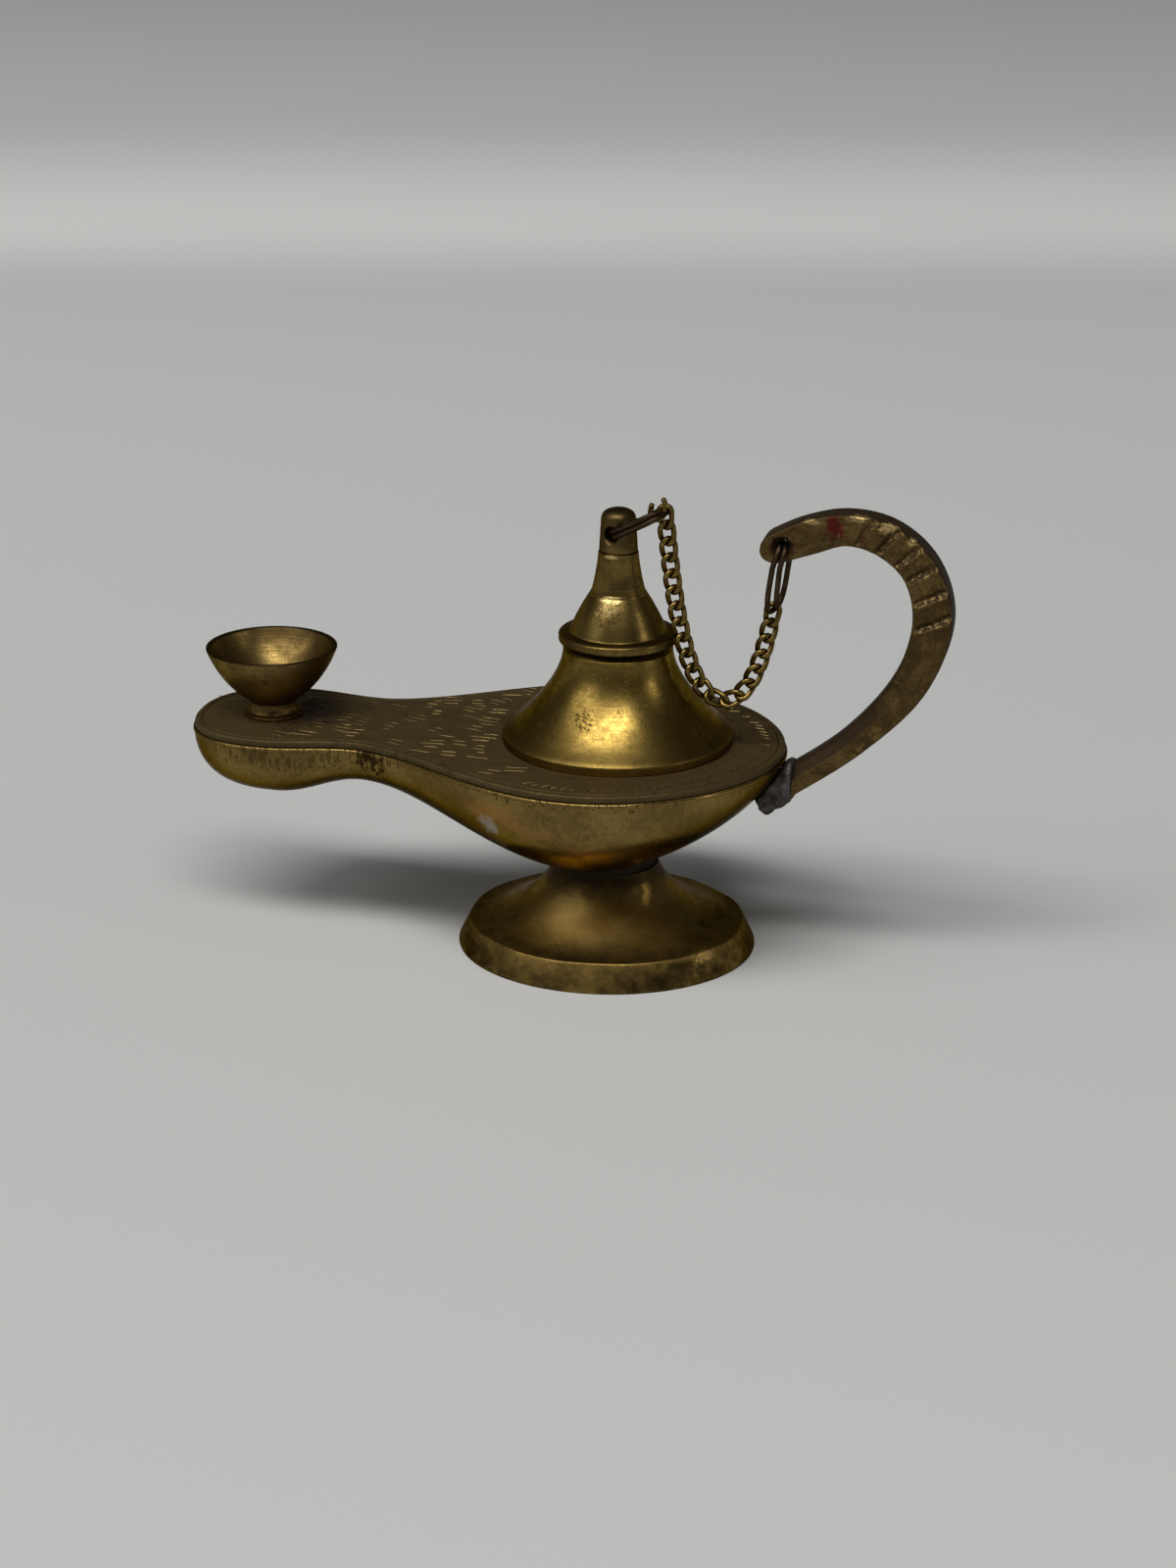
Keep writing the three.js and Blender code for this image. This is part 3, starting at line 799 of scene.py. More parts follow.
    def add_relief(self, bench: NodeBench, *layers: tuple[object, float]) -> None:
        """Adds the fine relief of tool marks, unevenness and pits.

        Args:
            bench: the material's node bench.
            layers: each layer and how high it stands.
        """
        node = bench.tree.nodes.new("ShaderNodeBump")
        node.inputs["Strength"].default_value = RELIEF_STRENGTH
        node.inputs["Distance"].default_value = self.bump * MM
        bench.feed(node.inputs["Height"], bench.weighed(*layers))
        bench.feed(bench.shader.inputs["Normal"], node.outputs["Normal"])


# The bowl and its deck

RIM_MIDDLE = np.array([AXIS_X, 0.0, RIM_Z])

# An engraved stroke's section over its width, and the shares of its length at which it is set out
STROKE_SECTION = ((-0.5, -0.02), (-0.22, 0.1), (0.0, 0.03), (0.22, 0.1), (0.5, -0.02))
STROKE_SPOTS = (0.0, 0.08, 0.3, 0.7, 0.92, 1.0)


@dataclass(frozen=True)
class BoatLines:
    """The bowl's plan and depth along X, measured from the neck's axis and down from the rim."""

    body_x: float = -2.0
    body_half_width: float = 31.3
    body_depth: float = 21.65
    rear_length: float = 32.3
    waist_to_body: float = 44.5
    waist_half_width: float = 13.0
    waist_depth: float = 9.2
    spout_to_waist: float = 15.5
    spout_half_width: float = 15.3
    spout_depth: float = 12.5
    spout_length: float = 16.5
    spout_plan_power: float = 2.3
    spout_depth_power: float = 2.6
    rear_plan_power: float = 1.9
    rear_depth_power: float = 1.45
    plan_ease: float = 0.85
    depth_ease: float = 0.92
    plan_steps: int = 400

    @property
    def waist_x(self) -> float:
        """The station of the waist."""
        return self.body_x - self.waist_to_body

    @property
    def spout_x(self) -> float:
        """The station of the spout's widest point."""
        return self.waist_x - self.spout_to_waist

    @property
    def tip_x(self) -> float:
        """The station of the spout's tip."""
        return self.spout_x - self.spout_length

    @property
    def rear_x(self) -> float:
        """The station of the rear end."""
        return self.body_x + self.rear_length

    def size_at(self, x: float, sizes: Point3, powers: Point2, ease: float) -> float:
        """Gives a size of the cross-section at a station.

        Args:
            x: the station.
            sizes: the size at the spout, the waist and the body.
            powers: the roundness of the spout's end and the rear end.
            ease: below 1 fills out the run from the waist to the body.

        Returns:
            The size.
        """
        spout, waist, body = sizes
        if x < self.spout_x:
            return spout * rounded_end((self.spout_x - x) / self.spout_length, powers[0])
        if x < self.waist_x:
            return eased(spout, waist, (x - self.spout_x) / self.spout_to_waist)
        if x < self.body_x:
            return eased(waist, body, ((x - self.waist_x) / self.waist_to_body) ** ease)
        return body * rounded_end((x - self.body_x) / self.rear_length, powers[1])

    def half_width(self, x: float) -> float:
        """Gives half the bowl's width at a station."""
        sizes = (self.spout_half_width, self.waist_half_width, self.body_half_width)
        return self.size_at(x, sizes, (self.spout_plan_power, self.rear_plan_power), self.plan_ease)

    def depth(self, x: float) -> float:
        """Gives the bowl's depth at a station."""
        sizes = (self.spout_depth, self.waist_depth, self.body_depth)
        return self.size_at(x, sizes, (self.spout_depth_power, self.rear_depth_power), self.depth_ease)

    def station(self, share: float) -> float:
        """Gives a station, set closer together towards both ends."""
        return self.tip_x + (self.rear_x - self.tip_x) * (1 - math.cos(math.pi * share)) / 2

    def outline(self, count: int) -> np.ndarray:
        """Gives the plan outline as evenly spaced points.

        Args:
            count: how many points it has.

        Returns:
            One row of x and y for each point, from the tip along the front and back along the far side.
        """
        stations = [self.station(i / self.plan_steps) for i in range(self.plan_steps + 1)]
        front = [(x, -self.half_width(x)) for x in stations]
        back = [(x, self.half_width(x)) for x in reversed(stations[1:-1])]
        loop = np.array(front + back + front[:1])
        run = run_along(loop)
        spots = np.linspace(0.0, run[-1], count, endpoint=False)
        return np.stack([np.interp(spots, run, loop[:, k]) for k in range(2)], axis=1)


def rounded_end(share: float, power: float) -> float:
    """Gives 1 where a rounded end begins and 0 at the end itself."""
    return (1 - min(1.0, abs(share)) ** power) ** (1 / power)


def eased(first: float, second: float, share: float) -> float:
    """Runs softly from one size to the next."""
    return first + (second - first) * (1 - math.cos(math.pi * share)) / 2


def inset(outline: np.ndarray, distance: float) -> np.ndarray:
    """Moves a closed outline, whose points turn left, inwards."""
    along = unit(np.roll(outline, -1, axis=0) - np.roll(outline, 1, axis=0))
    return outline + np.stack([-along[:, 1], along[:, 0]], axis=1) * distance


def level(outline: np.ndarray, height: float) -> np.ndarray:
    """Lifts an outline in plan to a height."""
    return np.column_stack([outline, np.full(len(outline), height)])


@dataclass
class Bowl:
    """The boat-shaped bowl, the deck plate that closes it and the deck's engraving."""

    lines: BoatLines = BoatLines()
    wall: float = 2.0
    lip_radius: float = 0.45
    lip_sides: int = 10
    boss_radius: float = 8.7
    boss_drop: float = 0.45
    boss_steps: int = 96
    deck_inset: float = 0.22
    deck_hole: float = 13.0
    stations: int = 150
    arcs: int = 56
    outline_points: int = 420
    neck_clear: float = 21.0
    cup_clear: float = 7.5
    cup_from_axis: float = 64.6
    leaves: int = 40
    leaf_gap: float = 4.0
    leaf_burr: float = 0.5
    leaf_seed: int = 11
    tick_start: float = 3.0
    tick_end: float = 4.6
    tick_clear: float = 21.4
    scratches: int = 210
    soot_strokes: int = 64
    ring_scratches: int = 46
    ring_radii: Point2 = (21.3, 23.4)
    scratch_burr: float = 0.3
    scratch_seed: int = 23

    def shell(self, wall: float) -> list[Point3]:
        """Gives rows of points across the bowl, one row for each station.

        Args:
            wall: how far the surface lies inside the outer one.

        Returns:
            The points of all rows.
        """
        turns = [math.pi * k / self.arcs for k in range(self.arcs + 1)]
        points: list[Point3] = []
        for i in range(self.stations + 1):
            x = self.lines.station(i / self.stations)
            wide, deep = self.lines.half_width(x), self.lines.depth(x)
            if wall:
                wide, deep = wide * wide / (wide + wall), deep * deep / (deep + wall)
            points += [(x, wide * math.cos(turn), -deep * math.sin(turn)) for turn in turns]
        return points

    def edge(self, distance: float) -> np.ndarray:
        """Gives the bowl's outline in plan, moved inwards by a distance."""
        return inset(self.lines.outline(self.outline_points), distance)

    def hull(self) -> Piece:
        """Builds the bowl's shell with its rolled lip and the boss on the foot.

        Returns:
            The piece.
        """
        points = np.array(self.shell(0.0) + self.shell(self.wall))
        width, shift = self.arcs + 1, len(points) // 2
        faces: Faces = []
        for i in range(self.stations):
            a, b = i * width, (i + 1) * width
            faces += strip(width, a, b) + strip(width, shift + a, shift + b)
            faces += [(a + k, b + k, shift + b + k, shift + a + k) for k in (0, self.arcs)]
        lip = level(self.edge(self.lip_radius * 0.65), -self.lip_radius)
        top, bottom = 1.0 - self.lines.body_depth, -self.lines.body_depth - self.boss_drop
        profile = [(0.0, top), (self.boss_radius, top), (self.boss_radius, bottom), (0.0, bottom)]
        boss, boss_faces = revolved(profile, self.boss_steps, False)
        boss[:, 0] += self.lines.body_x
        points, faces = joined([(points, faces), swept(lip, self.lip_radius, self.lip_sides, True), (boss, boss_faces)])
        return make_object("bowl_hull", points + RIM_MIDDLE, faces, PLATE_CREASE)

    def deck(self) -> Piece:
        """Builds the deck plate with its rounded edge and the line that runs along it.

        Returns:
            The piece.
        """
        thick = DECK_Z - RIM_Z
        outline = self.edge(self.deck_inset)
        steps = [(0.1, 0.0), (0.0, 0.12), (0.0, thick - 0.45), (0.06, thick - 0.22), (0.2, thick - 0.07),
                 (0.42, thick), (1.05, thick), (1.16, thick - 0.03), (1.3, thick - 0.26), (1.44, thick - 0.03),
                 (1.55, thick)]
        turns = np.arctan2(outline[:, 1], outline[:, 0])
        hole = np.stack([np.cos(turns), np.sin(turns)], axis=1) * self.deck_hole
        rings = [level(inset(outline, out), z) for out, z in steps] + [level(hole, z) for z in (thick, 0.0)]
        count = len(outline)
        faces: Faces = []
        for i in range(len(rings)):
            faces += strip(count, i * count, (i + 1) % len(rings) * count, True)
        return make_object("deck_plate", np.concatenate(rings) + RIM_MIDDLE, faces, PLATE_CREASE)

    def stroke(self, start: np.ndarray, end: np.ndarray, width: float, burr: float = 1.0) -> Shape:
        """Builds one engraved stroke: a tapered channel between two fine burrs.

        Args:
            start: the stroke's first end in plan, from the neck's axis.
            end: its other end.
            width: its width over the burrs.
            burr: how tall the burrs are, against the usual height.

        Returns:
            The points and faces.
        """
        along = end - start
        across = unit(np.array([-along[1], along[0]]))
        points: list[Point3] = []
        for t in STROKE_SPOTS:
            taper = 0.25 + 0.75 * math.sin(math.pi * min(1.0, 0.08 + t * 0.84))
            for out, up in STROKE_SECTION:
                x, y = start + along * t + across * out * width * taper
                points.append((AXIS_X + float(x), float(y), DECK_Z + up * burr * taper))
        count = len(STROKE_SECTION)
        faces: Faces = []
        for i in range(len(STROKE_SPOTS) - 1):
            faces += strip(count, i * count, (i + 1) * count)
        return np.array(points), faces

    def leaf(self, rng: random.Random, middle: Point2, turn_deg: float, count: int, length: float) -> list[Shape]:
        """Builds one hatched leaf of side by side strokes.

        Args:
            rng: the seeded source of small differences.
            middle: the leaf's middle in plan, from the neck's axis.
            turn_deg: which way its strokes run.
            count: how many strokes it has.
            length: the length of its middle stroke.

        Returns:
            The strokes.
        """
        strokes = []
        turn = math.radians(turn_deg)
        along = np.array([math.cos(turn), math.sin(turn)])
        across = np.array([-along[1], along[0]])
        for k in range(count):
            off = k - (count - 1) / 2
            half = length / 2 * (1 - 0.5 * abs(off) / max(1, count / 2)) * rng.uniform(0.75, 1.1)
            spot = np.array(middle) + across * off * 1.7 + along * rng.uniform(-0.7, 0.7)
            reach = (along + across * rng.uniform(-0.06, 0.06)) * half
            strokes.append(self.stroke(spot - reach, spot + reach, rng.uniform(0.16, 0.25), self.leaf_burr))
        return strokes

    def clear_of_fittings(self, x: float, y: float, margin: float) -> bool:
        """Says whether a spot of the deck is free of the edge, the neck and the cup.

        Args:
            x: the spot along X, from the neck's axis.
            y: the spot along Y.
            margin: how far away it has to be.

        Returns:
            Whether it is free.
        """
        lines = self.lines
        if not lines.tip_x + margin < x < lines.rear_x - margin:
            return False
        away_from_neck = math.hypot(x, y) > self.neck_clear + margin * 0.8
        away_from_cup = math.hypot(x + self.cup_from_axis, y) > self.cup_clear + margin * 0.5
        return abs(y) < lines.half_width(x) - margin and away_from_neck and away_from_cup

    def engraving(self) -> Piece:
        """Builds the engraved leaves on the deck and the bright ticks along its edge.

        Returns:
            The piece.
        """
        rng = random.Random(self.leaf_seed)
        parts: list[Shape] = []
        spots: list[Point2] = []
        while len(spots) < self.leaves:
            x, y = rng.uniform(-60.0, -12.0), rng.uniform(-24.0, 24.0)
            free = all(math.hypot(x - a, (y - b) * 1.25) > self.leaf_gap for a, b in spots)
            if free and self.clear_of_fittings(x, y, 2.6):
                spots.append((x, y))
        for spot in spots:
            parts += self.leaf(rng, spot, rng.uniform(-26.0, 10.0), rng.randint(1, 3), rng.uniform(2.4, 5.2))
        edge, inner = self.edge(self.tick_start), self.edge(self.tick_end)
        for k in range(0, self.outline_points, 3):
            if edge[k, 0] > -12.0 and rng.random() < 0.75:
                end = edge[k] + (inner[(k + 2) % self.outline_points] - edge[k]) * rng.uniform(0.6, 1.0)
                if math.hypot(*end) > self.tick_clear:
                    parts.append(self.stroke(edge[k], end, rng.uniform(0.26, 0.36)))
        return make_object("deck_engraving", *joined(parts), FINE_CREASE)

    def scratch(self, x: float, y: float, turn_deg: float, length: float, width: float) -> Shape:
        """Builds one scratch that dirt has filled.

        Args:
            x: its middle along X, from the neck's axis.
            y: its middle along Y.
            turn_deg: which way it runs.
            length: its length.
            width: its width.

        Returns:
            The points and faces.
        """
        turn = math.radians(turn_deg)
        half = np.array([math.cos(turn), math.sin(turn)]) * length / 2
        spot = np.array([x, y])
        return self.stroke(spot - half, spot + half, width, self.scratch_burr)

    def hatching(self) -> Piece:
        """Builds what dirt has filled: scratches, soot beside the cup, ticks along the edge and rings at the neck.

        Returns:
            The piece.
        """
        rng = random.Random(self.scratch_seed)
        parts: list[Shape] = []
        while len(parts) < self.scratches:
            x, y = rng.uniform(self.lines.tip_x, 28.0), rng.uniform(-29.0, 29.0)
            if self.clear_of_fittings(x, y, 1.7):
                lean = rng.gauss(-8.0, 16.0) if x < 0 else rng.uniform(-60.0, 60.0)
                parts.append(self.scratch(x, y, lean, rng.uniform(0.6, 2.8), rng.uniform(0.16, 0.3)))
        for _ in range(self.soot_strokes):
            turn_deg, away = rng.uniform(-75.0, 62.0), rng.uniform(6.4, 13.0)
            x = cup_x() - AXIS_X + away * math.cos(math.radians(turn_deg))
            y = away * math.sin(math.radians(turn_deg))
            if abs(y) < self.lines.half_width(x) - 1.8:
                lean = turn_deg + rng.uniform(-12.0, 12.0)
                parts.append(self.scratch(x, y, lean, rng.uniform(1.0, 3.4), rng.uniform(0.2, 0.36)))
        for x, y in self.edge(2.6)[::4]:
            if x > -8.0 and self.clear_of_fittings(x, y, 2.0):
                lean = math.degrees(math.atan2(y, x)) + rng.uniform(28.0, 62.0)
                parts.append(self.scratch(x * 0.97, y * 0.97, lean, rng.uniform(1.5, 2.8), rng.uniform(0.26, 0.4)))
        for _ in range(self.ring_scratches):
            turn, away = rng.uniform(0.0, 2 * math.pi), rng.uniform(*self.ring_radii)
            lean = math.degrees(turn) + 90.0 + rng.uniform(-5.0, 5.0)
            parts.append(self.scratch(away * math.cos(turn), away * math.sin(turn), lean, rng.uniform(2.0, 4.6), 0.22))
        return make_object("deck_hatching", *joined(parts), FINE_CREASE)

    def build(self) -> None:
        """Builds and dresses the bowl, the deck, the engraving and its dirt."""
        dress(self.hull(), HULL_BRASS, "base", "polished_brass", "hull")
        dress(self.deck(), DECK_BRASS, "base", "engraved_brass", "deck")
        dress(self.engraving(), CUT_BRASS, "base", "engraved_brass")
        dress(self.hatching(), GROOVE_DIRT, "base", "engraved_brass")


# Turned pieces


@dataclass
class Foot:
    """The flared hollow foot, a little oval, with a band that was filed by hand."""

    length: float = 54.2
    width: float = 50.4
    height: float = 15.9
    band_height: float = 5.0
    band_taper: float = 2.1
    collar_radius: float = 9.4
    wall: float = 2.4
    flat_radius: float = 46.0
    flat_fade: float = 2.2
    sweep_steps: int = 40
    steps: int = 240

    def flats(self) -> list[Point2]:
        """Gives the direction in degrees and the depth of each filed flat."""
        return [(-84.0, 0.34), (-38.0, 0.3), (2.0, 0.2), (47.0, 0.3), (95.0, 0.3), (140.0, 0.25), (178.0, 0.2),
                (-131.0, 0.28)]

    def flat_loss(self, turn: float) -> float:
        """Gives how far the filed flats cut into the band's upper edge at an angle.

        Args:
            turn: the angle about the axis.

        Returns:
            The depth.
        """
        full = self.length / 2 - self.band_taper
        least = full
        for middle_deg, depth in self.flats():
            back = full - depth - self.flat_radius
            away = turn - math.radians(middle_deg)
            if math.cos(away) > 0.2:
                under = self.flat_radius ** 2 - (back * math.sin(away)) ** 2
                least = min(least, back * math.cos(away) + math.sqrt(max(0.0, under)))
        return full - least

    def trim(self, radius: float, height: float, turn: float) -> float:
        """Gives the filed radius of a spot on the foot.

        Args:
            radius: the radius before filing.
            height: the spot's height.
            turn: its angle about the axis.

        Returns:
            The radius.
        """
        if height <= self.band_height:
            share = height / self.band_height
        else:
            share = max(0.0, 1 - (height - self.band_height) / self.flat_fade) ** 1.5
        inside = radius < self.collar_radius + 1.0
        return radius if inside else radius - self.flat_loss(turn) * share

    def build(self) -> None:
        """Builds and dresses the foot."""
        outer = self.length / 2
        top = outer - self.band_taper
        curve = np.array([(top, self.band_height), (16.5, self.band_height + 0.4), (10.6, self.height - 3.3),
                          (self.collar_radius, self.height)])
        shares = [i / self.sweep_steps for i in range(1, self.sweep_steps + 1)]
        line = [np.array([(1 - t) ** 3, 3 * t * (1 - t) ** 2, 3 * t ** 2 * (1 - t), t ** 3]) @ curve for t in shares]
        sweep, hollow = ([(float(out) - lift, float(up) - lift, 0.0) for out, up in line] for lift in (0.0, self.wall))
        corners = [(outer - 0.1, 0.0, 0.25), (outer, 0.5, 0.4), (top, self.band_height, 0.28), *sweep,
                   (0.0, self.height, 0.0)]
        under = [(0.0, self.height - self.wall, 0.0), *reversed(hollow), (outer - self.wall, 0.0, 0.2)]
        profile = filleted([*corners, *under], True)
        points, faces = revolved(profile, self.steps, True, self.trim)
        points[:, 1] *= self.width / self.length
        points[:, 0] += AXIS_X + BoatLines().body_x
        dress(make_object("foot_casting", points, faces), FOOT_BRASS, "base", "aged_brass", "foot")


@dataclass
class Neck:
    """The spun bell that stands on the deck."""

    base_radius: float = 20.7
    base_band: float = 1.7
    mouth_radius: float = 9.8
    chamfer: float = 0.9
    seat_gap: float = 0.4
    bore: float = 8.0
    wall: float = 1.6
    flare_power: float = 1.75
    flare_steps: int = 48
    steps: int = 224

    def build(self) -> None:
        """Builds and dresses the bell."""
        height = MOUTH_Z - DECK_Z - self.seat_gap
        rise = height - self.chamfer - self.base_band
        flare = []
        for i in range(1, self.flare_steps + 1):
            share = i / self.flare_steps
            out = (self.base_radius - self.mouth_radius) * (1 - share) ** self.flare_power
            flare.append((self.mouth_radius + out, self.base_band + rise * share, 0.0))
        corners = [(self.base_radius - 0.25, 0.0, 0.1), (self.base_radius, 0.3, 0.2),
                   (self.base_radius, self.base_band - 0.1, 0.12), *flare,
                   (self.mouth_radius - self.chamfer, height, 0.3), (self.bore, height, 0.2)]
        inside = [(max(self.bore, r - self.wall), z - self.base_band, 0.0) for r, z, _ in reversed(flare)]
        profile = filleted([*corners, *inside, (self.base_radius - self.wall, 0.0, 0.0)], True)
        points, faces = revolved(profile, self.steps, True)
        points += np.array([AXIS_X, 0.0, DECK_Z])
        dress(make_object("neck_bell", points, faces), NECK_BRASS, "base", "polished_brass", "neck")


@dataclass
class Lid:
    """The turned lid with its flange, cone, spire and cross-drilled finial."""

    turn_deg: float = -14.0
    flange_radius: float = 10.6
    flange_thickness: float = 1.8
    spigot_radius: float = 7.7
    spigot_length: float = 4.0
    wall: float = 1.5
    cone_base: float = 8.7
    cone_top: float = 4.9
    cone_height: float = 7.4
    cone_swell: float = 0.1
    step: float = 0.12
    spire_top: float = 3.55
    spire_height: float = 7.2
    finial_radius: float = 3.3
    finial_flare: float = 0.13
    finial_height: float = 5.9
    dome: float = 1.9
    hole_radius: float = 1.3
    hole_height: float = 3.6
    loop_length: float = 10.1
    loop_tilt_deg: float = -27.0
    bend_steps: int = 18
    dome_steps: int = 14
    steps: int = 160

    @property
    def hole_z(self) -> float:
        """The height of the cross hole above the neck's mouth."""
        return self.flange_thickness + self.cone_height + self.spire_height + self.hole_height

    def place(self, height: float) -> Matrix:
        """Gives the place on the lid's axis at a height above the neck's mouth, turned as the lid is."""
        axis = Matrix.Translation((AXIS_X, 0.0, MOUTH_Z + height))
        return axis @ Matrix.Rotation(math.radians(self.turn_deg), 4, "Z")

    def loop_place(self) -> Matrix:
        """Gives the place of the wire loop in the cross hole."""
        return self.place(self.hole_z) @ Matrix.Rotation(math.radians(self.loop_tilt_deg), 4, "Y")

    def build(self) -> None:
        """Builds and dresses the lid."""
        cone_z = self.flange_thickness + self.cone_height
        spire_z = cone_z + self.spire_height
        top_z = spire_z + self.finial_height
        narrow, tip = self.cone_top - self.step, self.finial_radius - 0.2
        foot = (self.cone_base, self.flange_thickness + 0.1)
        swell = ((self.cone_base + self.cone_top) / 2 + self.cone_swell * 2,
                 (self.flange_thickness + cone_z) / 2 + 0.4)
        hollow = (self.spire_top + 0.3, cone_z + self.spire_height / 2)
        dome_z = top_z + self.dome
        corners = [
            (self.spigot_radius, -self.spigot_length, 0.4), (self.spigot_radius, 0.0, 0.0),
            (self.flange_radius - 0.25, 0.0, 0.15), (self.flange_radius, 0.3, 0.25),
            (self.flange_radius, self.flange_thickness - 0.35, 0.22),
            (self.flange_radius - 0.4, self.flange_thickness, 0.25), (*foot, 0.25),
            *bend(foot, swell, (self.cone_top, cone_z - 0.1), self.bend_steps),
            (self.cone_top, cone_z, 0.08), (narrow, cone_z + 0.05, 0.06),
            *bend((narrow, cone_z), hollow, (self.spire_top, spire_z - 0.1), self.bend_steps),
            (self.spire_top, spire_z, 0.1), (self.finial_radius - 0.05, spire_z + 0.08, 0.05),
            (self.finial_radius + self.finial_flare, spire_z + 0.35, 0.1), (tip, top_z, 0.4),
            *bend((tip, top_z), (self.finial_radius - 0.3, dome_z), (0.0, dome_z), self.dome_steps),
            (0.0, cone_z, 0.0), (narrow - self.wall, cone_z, 0.0),
            (self.spigot_radius - self.wall, self.flange_thickness, 0.0),
            (self.spigot_radius - self.wall, -self.spigot_length, 0.2),
        ]
        points, faces = revolved(filleted(corners, True), self.steps, True)
        piece = make_object("lid_turned", moved(points, self.place(0.0)), faces)
        reach = self.finial_radius * 2
        waist = self.finial_radius - 0.45
        mouth = self.hole_radius + 0.35 + reach - self.finial_radius
        rod = [(0.0, -reach), (mouth, -reach), (self.hole_radius + 0.05, -waist), (self.hole_radius, -waist + 0.15),
               (self.hole_radius, waist - 0.15), (self.hole_radius + 0.05, waist), (mouth, reach), (0.0, reach)]
        across = Matrix.Translation((0.0, 0.0, self.hole_z)) @ Matrix.Rotation(math.pi / 2, 4, "X")
        drill(piece, rod, self.place(0.0) @ across, TURNED_CREASE)
        dress(piece, LID_BRASS, "lid", "polished_brass", "lid")


@dataclass
class Cup:
    """The small open cup on the spout."""

    to_tip: float = 14.2
    rim_radius: float = 11.9
    height: float = 12.9
    lip: float = 0.9
    stem_radius: float = 4.1
    stem_height: float = 2.7
    base_radius: float = 5.4
    base_thickness: float = 0.6
    floor: float = 1.3
    floor_radius: float = 2.5
    belly: float = 1.5
    steps: int = 200

    def build(self) -> None:
        """Builds and dresses the cup."""
        middle_r = (self.stem_radius + self.rim_radius) / 2 + self.belly
        middle_z = (self.stem_height + self.height) / 2 - self.belly
        floor_z = self.stem_height + self.floor
        base = (self.base_radius, self.base_thickness)
        stem = (self.stem_radius, self.stem_height)
        inner_rim = (self.rim_radius - self.lip, self.height)
        inner_bend = (middle_r - self.lip, middle_z + self.lip)
        corners = [
            (0.0, 0.0, 0.0), (self.base_radius - 0.1, 0.0, 0.08), (*base, 0.25),
            *bend(base, (self.stem_radius, self.base_thickness), stem, 10),
            *bend(stem, (middle_r, middle_z), (self.rim_radius, self.height - 0.25), 30),
            (self.rim_radius, self.height, 0.25), (*inner_rim, 0.3),
            *bend(inner_rim, inner_bend, (self.floor_radius, floor_z), 26), (0.0, floor_z, 0.0),
        ]
        points, faces = revolved(filleted(corners, False), self.steps, False)
        points += np.array([cup_x(), 0.0, DECK_Z])
        dress(make_object("incense_cup", points, faces), CUP_BRASS, "base", "aged_brass", "cup")


def cup_x() -> float:
    """Gives the place of the cup's axis along X."""
    return AXIS_X + BoatLines().tip_x + Cup.to_tip


# The handle


